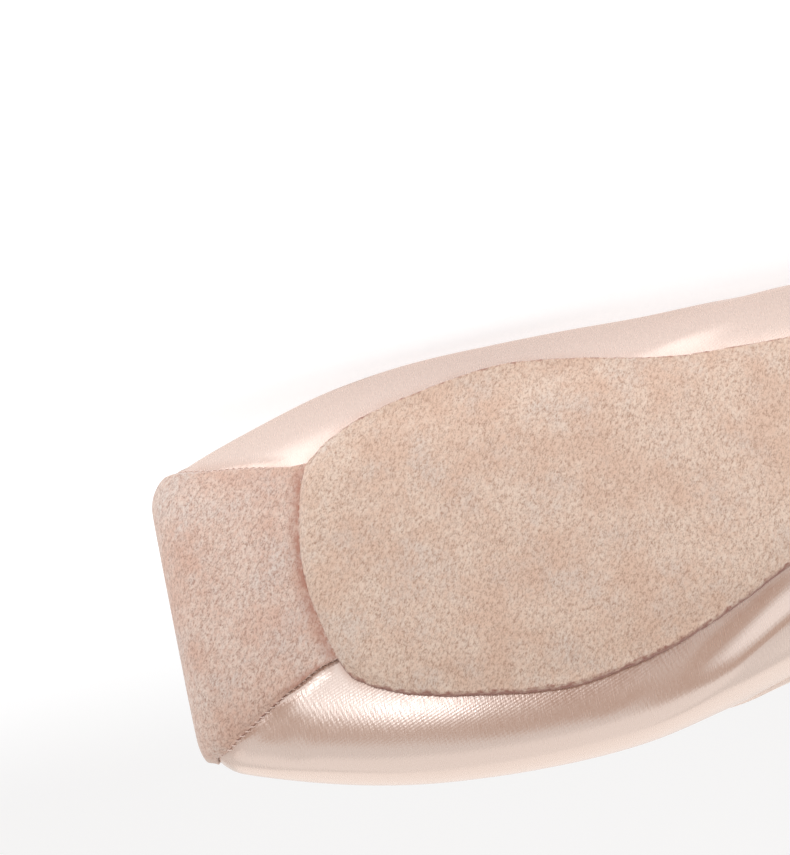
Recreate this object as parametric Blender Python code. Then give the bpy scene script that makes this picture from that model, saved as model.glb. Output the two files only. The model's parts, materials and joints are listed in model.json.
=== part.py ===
"""A satin pointe shoe for the right foot, lying on its inner side.

The shoe is worked out in its own frame first: x runs across it, towards the inner side of the foot, y runs from
the platform at the toe to the heel, and z is up from the floor that its sole would stand on. At the end the four
finished pieces are turned together onto the side on which the empty shoe comes to rest.
"""

import bmesh
import bpy
import numpy as np
from mathutils import Matrix, Vector

# Driving dimensions, in metres
LENGTH = 0.235
BALL_WIDTH = 0.078
INSTEP_HEIGHT = 0.050
SOLE_WIDTH = 0.0608
ARCH_RISE = 0.0055
TOE_SPRING = 0.0042
SWING = 0.016
THROAT_START = 0.072
THROAT_LENGTH = 0.034
WALL_LEAN = 0.19
HEEL_BACK_CURVE = 0.010

PLATFORM_EDGE = 0.0055
PLATFORM_WALL = 0.0070
BOX_WALL = 0.0036
QUARTER_WALL = 0.0020
TURNED_MARGIN = 0.0018
MARGIN_WIDTH = 0.012
BINDING_WIDTH = 0.007
BINDING_STEP = 0.0005
BINDING_SLOPE = 0.0006

SOLE_THICKNESS = 0.0023
SOLE_EDGE_LIFT = 0.0013
SOLE_EDGE_SKIVE = 0.0004
TREAD_FLATNESS = 0.0003
INSOLE_THICKNESS = 0.0015
INSOLE_SIDE_GAP = 0.0015
INSOLE_FLOOR_SHARE = 0.86
PATCH_THICKNESS = 0.0009
PATCH_EDGE_THICKNESS = 0.0006
PATCH_CLEARANCE = 0.00045
PATCH_TURN_SHARE = 0.5
PATCH_TOP_ANGLE = 1.66
PATCH_BLEND_ANGLE = 0.45
SOLE_OFFSET = 0.0009
CLEARANCE = 0.0003

# Density of each material, in kilograms per cubic metre, for the balance of the shoe as it lies
LEATHER_DENSITY = 900.0
CLOTH_DENSITY = 300.0

# The last, a row for each section. Stations are shares of the length. The half width is a share of half the ball
# width, spring of the toe spring, arch of the arch rise, widest, top and topline of the instep height, and swing of
# the swing. The two powers say how square the section is below and above its widest line. Lean is a share of the
# wall lean, the slope by which the side draws in towards the sole, and flank is its power: 2 is round, 1 straight.
LAST_COLUMNS = (
    "station", "half_width", "spring", "arch", "widest", "top", "low_power", "high_power", "lean", "flank",
    "swing", "topline",
)
LAST = (
    (0.000, 0.655, 1.00, 0.00, 0.170, 0.620, 3.2, 2.15, 1.00, 2.0, 0.00, 1.00),
    (0.040, 0.755, 0.72, 0.00, 0.180, 0.715, 3.2, 2.1, 1.00, 2.0, 0.00, 1.00),
    (0.090, 0.848, 0.42, 0.00, 0.185, 0.830, 3.25, 2.25, 1.00, 2.0, 0.00, 1.00),
    (0.150, 0.940, 0.14, 0.00, 0.190, 0.895, 3.2, 2.2, 1.00, 2.0, 0.00, 1.00),
    (0.210, 0.988, 0.00, 0.00, 0.195, 0.950, 3.15, 2.1, 1.00, 2.0, 0.00, 1.00),
    (0.275, 0.998, 0.00, 0.00, 0.195, 1.000, 3.15, 2.1, 1.00, 2.0, 0.00, 1.00),
    (0.340, 0.980, 0.00, 0.02, 0.200, 1.060, 3.2, 2.1, 1.00, 2.0, 0.04, 0.93),
    (0.400, 0.930, 0.00, 0.20, 0.220, 1.120, 3.3, 2.2, 1.00, 2.0, 0.17, 0.82),
    (0.460, 0.883, 0.00, 0.55, 0.250, 1.220, 3.5, 2.3, 1.00, 1.9, 0.37, 0.77),
    (0.540, 0.830, 0.00, 0.92, 0.290, 1.420, 4.0, 2.4, 0.93, 1.7, 0.56, 0.76),
    (0.640, 0.770, 0.00, 1.00, 0.330, 1.560, 5.0, 2.5, 0.80, 1.4, 0.71, 0.79),
    (0.740, 0.735, 0.00, 0.62, 0.360, 1.660, 6.0, 2.5, 0.66, 1.1, 0.81, 0.86),
    (0.830, 0.727, 0.00, 0.12, 0.380, 1.720, 7.5, 2.5, 0.60, 1.0, 0.89, 0.95),
    (0.900, 0.725, 0.00, 0.00, 0.390, 1.740, 8.0, 2.5, 0.60, 1.0, 0.95, 1.03),
    (1.000, 0.725, 0.00, 0.00, 0.390, 1.760, 8.0, 2.5, 0.60, 1.0, 1.00, 1.10),
)

# The outsole's outline, a row for each station: its half width is a share of half the sole width
SOLE_COLUMNS = ("station", "half_width", "swing")
SOLE = (
    (0.1047, 0.000, 0.000),
    (0.1055, 0.120, 0.000),
    (0.1081, 0.265, 0.000),
    (0.1123, 0.425, 0.000),
    (0.1190, 0.590, 0.000),
    (0.1340, 0.720, 0.000),
    (0.1520, 0.800, 0.000),
    (0.1860, 0.888, 0.000),
    (0.2200, 0.940, 0.000),
    (0.2540, 0.983, 0.000),
    (0.2880, 1.000, 0.000),
    (0.3220, 0.966, 0.004),
    (0.3560, 0.914, 0.016),
    (0.3900, 0.839, 0.058),
    (0.4240, 0.763, 0.140),
    (0.4580, 0.694, 0.270),
    (0.4920, 0.632, 0.390),
    (0.5600, 0.562, 0.570),
    (0.6500, 0.550, 0.720),
    (0.7400, 0.625, 0.810),
    (0.8200, 0.775, 0.880),
    (0.8800, 0.860, 0.930),
    (0.9150, 0.842, 0.965),
    (0.9430, 0.720, 0.980),
    (0.9600, 0.500, 0.985),
    (0.9680, 0.300, 0.990),
    (0.9710, 0.000, 0.995),
)

# The toe patch's side edges under the foot: how far they lie from the middle line, as shares of half the ball width
PATCH_COLUMNS = ("station", "outer_side", "inner_side")
PATCH = (
    (0.0128, 0.680, 0.725),
    (0.0180, 0.672, 0.710),
    (0.0236, 0.658, 0.695),
    (0.0330, 0.630, 0.672),
    (0.0430, 0.600, 0.648),
    (0.0590, 0.547, 0.624),
    (0.0730, 0.500, 0.607),
    (0.0880, 0.458, 0.583),
    (0.1030, 0.414, 0.559),
    (0.1180, 0.395, 0.534),
)

# Places along the shoe, as shares of the length: where the stiff box starts to thin and over what length it does,
# where the turned-under margin leaves an opening, and where the round of the heel and its curve in profile begin
BOX_END = 0.25
BOX_FADE = 0.20
MARGIN_OPEN = (0.15, 0.93)
HEEL_CENTRE = 0.870
HEEL_CURVE_START = 0.72

# The bulge of the heel's profile, as a share of the height of the heel, which is a multiple of the instep height
HEEL_BULGE = 0.40
HEEL_HEIGHT = 1.1

# The insole's ends are square with rounded corners: the power of the superellipse that rounds them
INSOLE_END_POWER = 12

# How finely each piece is divided
BODY_STATIONS = 30
TOE_EDGE_STEPS = 4
HEEL_STEPS = 8
GIRTH_STEPS = 18
SOLE_ACROSS = 10
PATCH_ALONG = 11
PATCH_AROUND = (5, 4, 12)
MERGE_DISTANCE = 1e-6

# The upper's platform lies behind the patch that covers it
PLATFORM_FACE = PATCH_THICKNESS + PATCH_CLEARANCE

MATERIALS = {
    "satin": ((0.79, 0.62, 0.54, 1.0), 0.38),
    "outsole_suede": ((0.66, 0.49, 0.37, 1.0), 0.95),
    "patch_suede": ((0.63, 0.44, 0.35, 1.0), 0.95),
    "lining_cloth": ((0.80, 0.70, 0.60, 1.0), 0.90),
}


def column(table, names, name):
    """One named column of a table, as an array."""
    return np.array([row[names.index(name)] for row in table])


def flow(table, names, name, y):
    """The smooth curve through a table's rows: cubics whose slopes are those of the rows on either side."""
    stations = column(table, names, "station")
    values = column(table, names, name)
    slopes = np.gradient(values, stations)
    share = np.clip(np.asarray(y, float) / LENGTH, stations[0], stations[-1])
    i = np.clip(np.searchsorted(stations, share, side="right") - 1, 0, len(stations) - 2)
    step = stations[i + 1] - stations[i]
    t = (share - stations[i]) / step
    start = (2 * t**3 - 3 * t**2 + 1) * values[i] + (t**3 - 2 * t**2 + t) * step * slopes[i]
    end = (3 * t**2 - 2 * t**3) * values[i + 1] + (t**3 - t**2) * step * slopes[i + 1]
    return start + end


def last(name, y):
    return flow(LAST, LAST_COLUMNS, name, y)


def tread(y):
    """Height of the outsole's underside above the floor it would stand on: toe spring in front, arch behind."""
    return np.maximum(last("spring", y), 0) * TOE_SPRING + np.maximum(last("arch", y), 0) * ARCH_RISE


def seat(y):
    """Height of the upper's underside, which lies on the outsole."""
    return tread(y) + SOLE_THICKNESS + CLEARANCE


def half_width(y):
    return last("half_width", y) * BALL_WIDTH / 2


def widest(y):
    """Height of the section's widest line."""
    return seat(y) + last("widest", y) * INSTEP_HEIGHT


def crown(y):
    """Height of the top of the last's section, above the open throat too."""
    return tread(y) + last("top", y) * INSTEP_HEIGHT


def lean_in(y, z):
    """Factor by which the side wall draws in towards its foot, below the widest line."""
    depth = widest(y) - seat(y)
    t = np.clip((widest(y) - z) / depth, 0, 1)
    return 1 - last("lean", y) * WALL_LEAN * depth * t ** last("flank", y) / half_width(y)


def section(y, phi, inset=0.0, floor_inset=0.0, plan=1.0):
    """Half a section of the last: phi runs from 0 under the foot to pi on top. Below and above the widest line it
    is a quarter of a superellipse, drawn in by the insets, and plan narrows it round the heel."""
    wide = widest(y)
    low = seat(y) + floor_inset
    high = crown(y) - inset
    below = phi <= np.pi / 2
    power = np.where(below, last("low_power", y), last("high_power", y))
    rise = np.abs(np.cos(phi)) ** (2 / power)
    z = np.where(below, wide - (wide - low) * rise, wide + (high - wide) * rise)
    x = (half_width(y) - inset) * plan * np.abs(np.sin(phi)) ** (2 / power) * lean_in(y, z)
    return x, z


def wall(y):
    """Thickness of the upper: the stiff box at the toe thins into the cloth of the quarters."""
    blend = np.clip((y - BOX_END * LENGTH) / (BOX_FADE * LENGTH), 0, 1)
    blend = blend**2 * (3 - 2 * blend)
    return BOX_WALL + (QUARTER_WALL - BOX_WALL) * blend


def underside(x, y, inset=0.0, floor_inset=0.0):
    """Height of the upper's underside, or of the floor inside it, at a distance x from its middle line."""
    n = last("low_power", y)
    low = seat(y) + floor_inset
    z = low + 0 * x
    for _ in range(6):
        share = np.clip(np.abs(x) / ((half_width(y) - inset) * lean_in(y, z)), 0, 0.999)
        z = widest(y) - (widest(y) - low) * (1 - share**n) ** (1 / n)
    return z


def swing(y):
    """Sideways shift of the middle line: straight in front, bending to the inner side behind the ball."""
    return np.maximum(last("swing", y), 0) * SWING


def heel_curve(points):
    """Draws the back of the heel in above and below its bulge, more and more towards the end."""
    y = points[..., 1]
    near_heel = np.clip((y / LENGTH - HEEL_CURVE_START) / (1 - HEEL_CURVE_START), 0, 1) ** 2
    height = np.clip(points[..., 2] / (HEEL_HEIGHT * INSTEP_HEIGHT), 0, 1.2)
    points[..., 1] = y - near_heel * HEEL_BACK_CURVE * ((height - HEEL_BULGE) / (1 - HEEL_BULGE)) ** 2
    return points


def toe_skin(reach, phi, depth):
    """Half of the toe's surface. Reach runs from 0 at the platform's middle to 1 where its flat face ends, and on
    to 2 round its edge. Depth runs from 0 outside to 1 inside the wall, and below 0 outside the upper."""
    turn = np.clip(reach - 1, 0, 1) * np.pi / 2
    y = PLATFORM_FACE + PLATFORM_EDGE * (1 - np.cos(turn)) + 0 * phi
    skin = depth * np.where(depth > 0, wall(y), 1.0)
    floor_skin = depth * np.where(depth > 0, TURNED_MARGIN, 1.0)
    inner = PLATFORM_EDGE * (1 - np.sin(turn))
    x, z = section(y, phi, inner + skin, inner + floor_skin)
    _, ends = section(np.full(2, PLATFORM_FACE), np.array([0.0, np.pi]))
    middle = ends.mean()
    flat = np.clip(reach, 0, 1)
    face = depth * np.where(depth > 0, PLATFORM_WALL, 1.0)
    return np.stack([x * flat, y + face * toe_fade(y), middle + (z - middle) * flat], -1)


def toe_fade(y):
    """How much of the platform's extra thickness is left at a distance y behind its face."""
    return np.clip(1 - (y - PLATFORM_FACE) / (5 * PLATFORM_WALL), 0, 1) ** 2


def body_skin(y, phi, depth, raised=0.0):
    """Half of the surface between the platform and the heel."""
    skin = depth * np.where(depth > 0, wall(y), 1.0) - raised
    floor_skin = depth * np.where(depth > 0, TURNED_MARGIN, 1.0)
    face = depth * np.where(depth > 0, PLATFORM_WALL, 1.0)
    x, z = section(y, phi, skin, floor_skin)
    return np.stack([x, y + face * toe_fade(y), z], -1)


def heel_skin(turn, phi, depth, raised=0.0):
    """Half of the heel: turn runs a quarter round, from its widest section to the middle of its back."""
    start = HEEL_CENTRE * LENGTH
    skin = depth * QUARTER_WALL - raised
    y = start + (LENGTH - start) * np.sin(turn) + 0 * phi
    x, z = section(y, phi, skin, depth * TURNED_MARGIN, np.cos(turn))
    return np.stack([x, y - skin * np.sin(turn), z], -1)


def sole_half_width(y):
    return np.maximum(flow(SOLE, SOLE_COLUMNS, "half_width", y), 0) * SOLE_WIDTH / 2


def sole_swing(y):
    return flow(SOLE, SOLE_COLUMNS, "swing", y) * SWING + SOLE_OFFSET


def bottom_angle(y):
    """Where the turned-under margin ends, as an angle of the section: 0 where the underside is closed."""
    opening = np.maximum(sole_half_width(y) - MARGIN_WIDTH, 0)
    opening = np.where((y > MARGIN_OPEN[0] * LENGTH) & (y < MARGIN_OPEN[1] * LENGTH), opening, 0)
    share = np.clip(opening / (half_width(y) * lean_in(y, seat(y))), 0, 1)
    return np.arcsin(share ** (last("low_power", y) / 2))


def rim_angle(y):
    """Where the wall ends at the throat and the topline: pi where the vamp is closed."""
    height = np.clip((last("topline", y) * INSTEP_HEIGHT - widest(y)) / (crown(y) - widest(y)), 0, 1)
    n = last("high_power", y)
    reach = np.clip((y - THROAT_START) / THROAT_LENGTH, 0, 1)
    opening = (1 - height**n) ** (1 / n) * np.sqrt(1 - (1 - reach) ** 2)
    angle = np.pi - np.arcsin(np.clip(opening, 0, 1) ** (n / 2))
    return np.where(y > THROAT_START + MERGE_DISTANCE, angle, np.pi)


def body_stations():
    """Distances of the body's sections from the toe: close together at the throat's rounded front."""
    first = PLATFORM_FACE + PLATFORM_EDGE * 1.3
    binding = THROAT_START - BINDING_WIDTH
    front = np.linspace(first, binding, BODY_STATIONS // 3)
    rim = (binding + BINDING_SLOPE, THROAT_START)
    throat = THROAT_START + THROAT_LENGTH * np.array([0.012, 0.06, 0.16, 0.34])
    back = np.linspace(throat[-1], HEEL_CENTRE * LENGTH, BODY_STATIONS - len(front) - 4)[1:]
    return np.concatenate([front, rim, throat, back])


def row_angles(y, low, high):
    """The angles of one row's points: evenly spread, with two more at the edge of the binding round the rim."""
    near_rim = np.linspace(high - 1.2, high, 240)
    x, z = section(np.full_like(near_rim, y), near_rim)
    steps = np.hypot(np.diff(x), np.diff(z))
    to_rim = np.append(np.cumsum(steps[::-1])[::-1], 0.0)
    edge, crest = np.interp((-BINDING_WIDTH, BINDING_SLOPE - BINDING_WIDTH), -to_rim, near_rim)
    return np.concatenate([low + (edge - low) * np.linspace(0, 1, GIRTH_STEPS), (crest, high)])


def upper_half(depth):
    """Half of the upper's outer or inner skin, as a grid of points, and whether each row is open at either end.
    The outer skin is raised in a low step by the binding round the throat and the topline."""
    rows, bottom_open, rim_open = [], [], []
    binding = (1 - depth) * BINDING_STEP * (np.arange(GIRTH_STEPS + 2) >= GIRTH_STEPS)
    for reach in (0.0, 0.6, *np.linspace(1, 2, TOE_EDGE_STEPS + 1)):
        rows.append(toe_skin(reach, row_angles(0.0, 0.0, np.pi), depth))
        bottom_open.append(False)
        rim_open.append(False)
    for y in body_stations():
        low, high = float(bottom_angle(y)), float(rim_angle(y))
        raised = binding * (y > THROAT_START - BINDING_WIDTH + BINDING_SLOPE / 2)
        phi = row_angles(y, low, high)
        rows.append(body_skin(np.full_like(phi, y), phi, depth, raised))
        bottom_open.append(low > 0)
        rim_open.append(high < np.pi)
    heel_start = HEEL_CENTRE * LENGTH
    for turn in np.linspace(0, np.pi / 2, HEEL_STEPS + 1)[1:]:
        y = heel_start + (LENGTH - heel_start) * np.sin(turn)
        low, high = float(bottom_angle(y)) * np.cos(turn), float(rim_angle(y))
        rows.append(heel_skin(turn, row_angles(y, low, high), depth, binding))
        bottom_open.append(low > 0)
        rim_open.append(True)
    return heel_curve(np.array(rows)), np.array(bottom_open), np.array(rim_open)


def both_sides(grid, shift):
    """The grid and its mirror image, with the middle line shifted to follow the shoe's swing."""
    right = grid.copy()
    left = grid * np.array([-1.0, 1.0, 1.0])
    right[..., 0] += shift
    left[..., 0] += shift
    return right, left


def grid_quads(first, rows, columns, flip):
    """The four-sided faces of a grid whose points are numbered row by row from first."""
    i, j = np.meshgrid(np.arange(rows - 1), np.arange(columns - 1), indexing="ij")
    corner = first + i * columns + j
    quads = np.stack([corner, corner + columns, corner + columns + 1, corner + 1], -1).reshape(-1, 4)
    return quads[:, ::-1] if flip else quads


def strip_quads(one, other, flip):
    """A strip of faces between two equally long lines of numbered points."""
    quads = np.stack([one[:-1], one[1:], other[1:], other[:-1]], -1)
    return quads[:, ::-1] if flip else quads


def closed_mesh(name, points, quads):
    """A mesh from points and faces, with its doubled points merged and its faces turned outwards."""
    mesh = bpy.data.meshes.new(name)
    bm = bmesh.new()
    corners = [bm.verts.new(p) for p in points]
    for quad in quads:
        bm.faces.new([corners[k] for k in quad])
    bmesh.ops.remove_doubles(bm, verts=bm.verts, dist=MERGE_DISTANCE)
    bmesh.ops.dissolve_degenerate(bm, edges=bm.edges, dist=MERGE_DISTANCE)
    bmesh.ops.recalc_face_normals(bm, faces=bm.faces)
    bm.to_mesh(mesh)
    bm.free()
    return mesh


def upper_mesh():
    """The upper: an outer and an inner skin, joined round the throat and topline and round the lasting margin."""
    outer, bottom_open, rim_open = upper_half(0.0)
    inner, _, _ = upper_half(1.0)
    rows, columns = outer.shape[:2]
    grids = [*both_sides(outer, swing(outer[..., 1])), *both_sides(inner, swing(outer[..., 1]))]
    size = rows * columns
    quads = [grid_quads(k * size, rows, columns, flip=k in (0, 3)) for k in range(4)]
    for side in (0, 1):
        for edge, is_open in ((0, bottom_open), (columns - 1, rim_open)):
            line = side * size + np.arange(rows) * columns + edge
            strip = strip_quads(line, line + 2 * size, flip=(side == 0) == (edge == 0))
            quads.append(strip[is_open[:-1] | is_open[1:]])
    points = np.concatenate([g.reshape(-1, 3) for g in grids])
    return closed_mesh("upper", points, np.concatenate(quads))


def plate_mesh(name, y, half, shift, top, bottom):
    """A plate with a curved outline: the surfaces top(x, y) and bottom(x, y) between two pointed ends."""
    across = np.sin(np.linspace(-np.pi / 2, np.pi / 2, SOLE_ACROSS + 1))
    x = half[:, None] * across
    y_all = np.repeat(y[:, None], len(across), axis=1)
    layers = [
        np.stack([x + shift[:, None], y_all, surface(x, y_all)], -1)
        for surface in (top, bottom)
    ]
    rows, columns = x.shape
    size = rows * columns
    quads = [grid_quads(0, rows, columns, False), grid_quads(size, rows, columns, True)]
    for edge in (0, columns - 1):
        line = np.arange(rows) * columns + edge
        quads.append(strip_quads(line, line + size, flip=edge == 0))
    points = np.concatenate([heel_curve(layer).reshape(-1, 3) for layer in layers])
    return closed_mesh(name, points, np.concatenate(quads))


def between(stations, fill):
    """The stations, with extra ones wherever two lie further apart than fill."""
    out = [stations[:1]]
    for a, b in zip(stations[:-1], stations[1:]):
        steps = int(np.ceil((b - a) / fill - 1e-9))
        out.append(np.linspace(a, b, steps + 1)[1:])
    return np.concatenate(out)


def sole_top(x, y):
    """The outsole's upper face follows the underside, but its stiff edge lifts only a little."""
    return np.minimum(underside(x + sole_swing(y) - swing(y), y), seat(y) + SOLE_EDGE_LIFT) - CLEARANCE


def sole_bottom(x, y):
    """The outsole's tread: flat across the middle, lifting with the edge, which is skived a little thinner."""
    lift = sole_top(x, y) + CLEARANCE - seat(y)
    edge = np.abs(x) / np.maximum(sole_half_width(y), MERGE_DISTANCE)
    return tread(y) + np.maximum(lift - TREAD_FLATNESS, 0) + SOLE_EDGE_SKIVE * np.clip(edge, 0, 1) ** 8


def outsole_mesh():
    y = between(column(SOLE, SOLE_COLUMNS, "station") * LENGTH, 0.034 * LENGTH)
    return plate_mesh("outsole", y, sole_half_width(y), sole_swing(y), sole_top, sole_bottom)


def insole_mesh():
    """The insole lies on the turned margin and fills the floor of the upper from the box to the heel."""
    start = 2 * PLATFORM_WALL
    end = LENGTH - QUARTER_WALL - 2 * INSOLE_SIDE_GAP - 0.3 * HEEL_BACK_CURVE
    middle, reach = (start + end) / 2, (end - start) / 2
    y = middle - reach * np.cos(np.linspace(0, np.pi, 31))
    ends = np.clip(1 - (np.abs(y - middle) / reach) ** INSOLE_END_POWER, 0, 1) ** 0.5
    near_toe = np.linspace(PLATFORM_FACE, 6 * PLATFORM_WALL, 40)
    near_toe_inside = near_toe + PLATFORM_WALL * toe_fade(near_toe)

    def inside(y_all):
        return np.where(y_all < near_toe[-1], np.interp(y_all, near_toe_inside, near_toe), y_all)

    floor = (half_width(inside(y)) - wall(y)) * lean_in(inside(y), seat(inside(y)))
    half = (INSOLE_FLOOR_SHARE * floor - INSOLE_SIDE_GAP) * ends

    def under(x, y_all):
        return underside(x, inside(y_all), wall(y_all), TURNED_MARGIN) + CLEARANCE

    def over(x, y_all):
        return under(x, y_all) + INSOLE_THICKNESS

    return plate_mesh("insole", y, half, swing(y), over, under)


def front_skin(reach, phi, depth):
    """The toe's surface carried on behind its rounded edge: reach goes on past 2 at the same pace as round it."""
    toe = toe_skin(np.minimum(reach, 2), phi, depth)
    behind = PLATFORM_FACE + PLATFORM_EDGE * (1 + np.maximum(reach - 2, 0) * np.pi / 2)
    return np.where((reach > 2)[:, None], body_skin(behind, phi, depth), toe)


def patch_end(phi, side):
    """How far the patch reaches: to the outsole's front underneath, to its own edge at the side, and round the
    rest of the platform only part of the way round its edge. Found by halving the interval."""
    tip = column(SOLE, SOLE_COLUMNS, "station")[:8] * LENGTH
    tip_half = column(SOLE, SOLE_COLUMNS, "half_width")[:8] * SOLE_WIDTH / 2
    name = "inner_side" if side > 0 else "outer_side"
    near, far = np.full_like(phi, 1 + PATCH_TURN_SHARE), np.full_like(phi, 8.0)
    for _ in range(40):
        reach = (near + far) / 2
        x, y, _ = front_skin(reach, phi, 0.0).T
        edge = flow(PATCH, PATCH_COLUMNS, name, y) * BALL_WIDTH / 2
        sole_front = np.interp(np.abs(side * x - SOLE_OFFSET), tip_half, tip) - 2 * CLEARANCE
        beyond = (x > edge) | (y > sole_front)
        near, far = np.where(beyond, near, reach), np.where(beyond, reach, far)
    below = np.clip((PATCH_TOP_ANGLE - phi) / PATCH_BLEND_ANGLE, 0, 1)
    return 1 + PATCH_TURN_SHARE + (near - 1 - PATCH_TURN_SHARE) * below**2 * (3 - 2 * below)


def patch_mesh():
    """The suede patch: a skin over the platform and the underside in front of the outsole, thinner at its edge."""
    points, quads, first = [], [], 0
    for side in (1, -1):
        angles = np.linspace(0, np.pi / 3, 400)
        _, behind, _ = front_skin(patch_end(angles, side), angles, 0.0).T
        turns = (0, angles[np.argmax(behind)], np.pi / 3, np.pi)
        spans = [np.linspace(a, b, n + 1)[1:] for a, b, n in zip(turns, turns[1:], PATCH_AROUND)]
        phi = np.concatenate([[0.0], *spans])
        end = patch_end(phi, side)
        skins = []
        for outside in (1, 0):
            face = -PATCH_CLEARANCE - outside * PATCH_THICKNESS
            rows = [front_skin(np.full_like(phi, reach), phi, face) for reach in (0, 0.6)]
            for share in np.linspace(0, 1, PATCH_ALONG + 1):
                thickness = PATCH_THICKNESS + (PATCH_EDGE_THICKNESS - PATCH_THICKNESS) * share**4
                rows.append(front_skin(1 + (end - 1) * share, phi, -PATCH_CLEARANCE - outside * thickness))
            skins.append(np.array(rows) * np.array([side, 1, 1]))
        rows, columns = skins[0].shape[:2]
        size = rows * columns
        for k, skin in enumerate(skins):
            points.append(skin.reshape(-1, 3))
            quads.append(grid_quads(first + k * size, rows, columns, flip=k == 1))
        line = first + (rows - 1) * columns + np.arange(columns)
        quads.append(strip_quads(line, line + size, flip=False))
        first += 2 * size
    return closed_mesh("toe_patch", np.concatenate(points), np.concatenate(quads))


def make_material(name):
    colour, roughness = MATERIALS[name]
    material = bpy.data.materials.new(name)
    material.use_nodes = True
    shader = material.node_tree.nodes["Principled BSDF"]
    shader.inputs["Base Color"].default_value = colour
    shader.inputs["Roughness"].default_value = roughness
    shader.inputs["Metallic"].default_value = 0.0
    return material


def make_piece(mesh, material, collection):
    mesh.materials.append(make_material(material))
    mesh.shade_smooth()
    mesh.set_sharp_from_angle(angle=np.radians(40))
    piece = bpy.data.objects.new(mesh.name, mesh)
    collection.objects.link(piece)
    return piece


def balance_point(meshes_and_densities):
    """The centre of mass of several closed meshes: each face makes a thin pyramid with the origin."""
    mass, moment = 0.0, Vector()
    for mesh, density in meshes_and_densities:
        mesh.calc_loop_triangles()
        for triangle in mesh.loop_triangles:
            a, b, c = (mesh.vertices[k].co for k in triangle.vertices)
            piece = density * a.dot(b.cross(c)) / 6
            mass += piece
            moment += piece * (a + b + c) / 4
    return moment / mass


def resting_direction(meshes, balance):
    """The direction that points down when the shoe lies on its inner side. Of the faces of the hull round the
    whole shoe, it takes the one nearest that side whose outline the centre of mass lies over."""
    hull = bmesh.new()
    for mesh in meshes:
        for vertex in mesh.vertices:
            hull.verts.new(vertex.co)
    bmesh.ops.convex_hull(hull, input=hull.verts)
    best, best_score = Vector((1, 0, 0)), -1.0
    for face in hull.faces:
        normal = face.normal.normalized()
        if normal.dot(face.calc_center_median() - balance) < 0:
            normal = -normal
        corners = [v.co for v in face.verts]
        turns = [
            (b - a).cross(balance - a).dot(face.normal)
            for a, b in zip(corners, corners[1:] + corners[:1])
        ]
        over = all(t >= 0 for t in turns) or all(t <= 0 for t in turns)
        score = normal.x if over else normal.x - 1.5
        if score > best_score:
            best, best_score = normal.copy(), score
    hull.free()
    return best


def lay_down(pieces, balance):
    """Turns every piece so that the resting side is down and the shoe's length runs along y, with the middle of
    its footprint at the origin."""
    down = resting_direction([p.data for p in pieces], balance)
    along = (Vector((0, 1, 0)) - down * down.y).normalized()
    across = along.cross(-down)
    turn = Matrix((across, along, -down)).to_4x4()
    for piece in pieces:
        piece.data.transform(turn)
    corners = np.array([v.co for p in pieces for v in p.data.vertices])
    low, high = corners.min(axis=0), corners.max(axis=0)
    shift = Matrix.Translation((-(low[0] + high[0]) / 2, -(low[1] + high[1]) / 2, -low[2]))
    for piece in pieces:
        piece.data.transform(shift)


def main():
    for thing in list(bpy.data.objects):
        bpy.data.objects.remove(thing, do_unlink=True)
    shoe = bpy.data.collections.new("pointe_shoe")
    bpy.context.scene.collection.children.link(shoe)
    upper = make_piece(upper_mesh(), "satin", shoe)
    outsole = make_piece(outsole_mesh(), "outsole_suede", shoe)
    insole = make_piece(insole_mesh(), "lining_cloth", shoe)
    patch = make_piece(patch_mesh(), "patch_suede", shoe)
    balance = balance_point([
        (upper.data, CLOTH_DENSITY),
        (outsole.data, LEATHER_DENSITY),
        (insole.data, CLOTH_DENSITY),
        (patch.data, LEATHER_DENSITY),
    ])
    lay_down([upper, outsole, insole, patch], balance)


main()
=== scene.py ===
# %% [markdown]
# # A satin pointe shoe, seen from below
# The shoe lies on its inner side on a white floor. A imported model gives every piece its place, and this file gives
# the pieces their looks: satin that is pulled over a stiff box, suede under the foot and over the toe, thread along
# the suede's edge. Each step first says what the thing is on a real shoe.

# %% Load the frame
import json
import bmesh
import bpy
import numpy as np
from mathutils import Matrix, Vector


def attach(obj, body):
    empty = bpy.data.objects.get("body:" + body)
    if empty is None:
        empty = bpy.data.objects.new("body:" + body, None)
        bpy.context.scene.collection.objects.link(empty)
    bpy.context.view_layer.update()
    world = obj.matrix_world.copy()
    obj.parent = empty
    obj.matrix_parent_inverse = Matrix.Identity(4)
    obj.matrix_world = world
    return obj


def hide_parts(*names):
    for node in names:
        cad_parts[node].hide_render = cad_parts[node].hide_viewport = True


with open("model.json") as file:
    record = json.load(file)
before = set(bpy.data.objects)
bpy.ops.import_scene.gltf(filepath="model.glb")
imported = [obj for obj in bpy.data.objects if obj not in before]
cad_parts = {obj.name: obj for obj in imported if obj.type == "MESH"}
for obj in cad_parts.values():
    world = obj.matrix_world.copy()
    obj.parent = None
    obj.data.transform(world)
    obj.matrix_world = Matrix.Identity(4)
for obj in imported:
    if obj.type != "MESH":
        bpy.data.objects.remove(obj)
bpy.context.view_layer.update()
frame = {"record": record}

mounts = {mount["name"]: mount for mount in frame["record"]["mounts"]}

# %% [markdown]
# A shoemaker measures along the shoe, not along the floor. So the first step rebuilds the shoe's own axes from the
# two flat faces that the record names: the tread under the ball looks down from the shoe, and the platform looks
# forward. Every shape below is worked out in these axes, x across, y from toe to heel and z up from the tread, and
# is turned into place at the end.

# %% The shoe's own axes
PLATFORM_POINT_HEIGHT = 0.019

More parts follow.
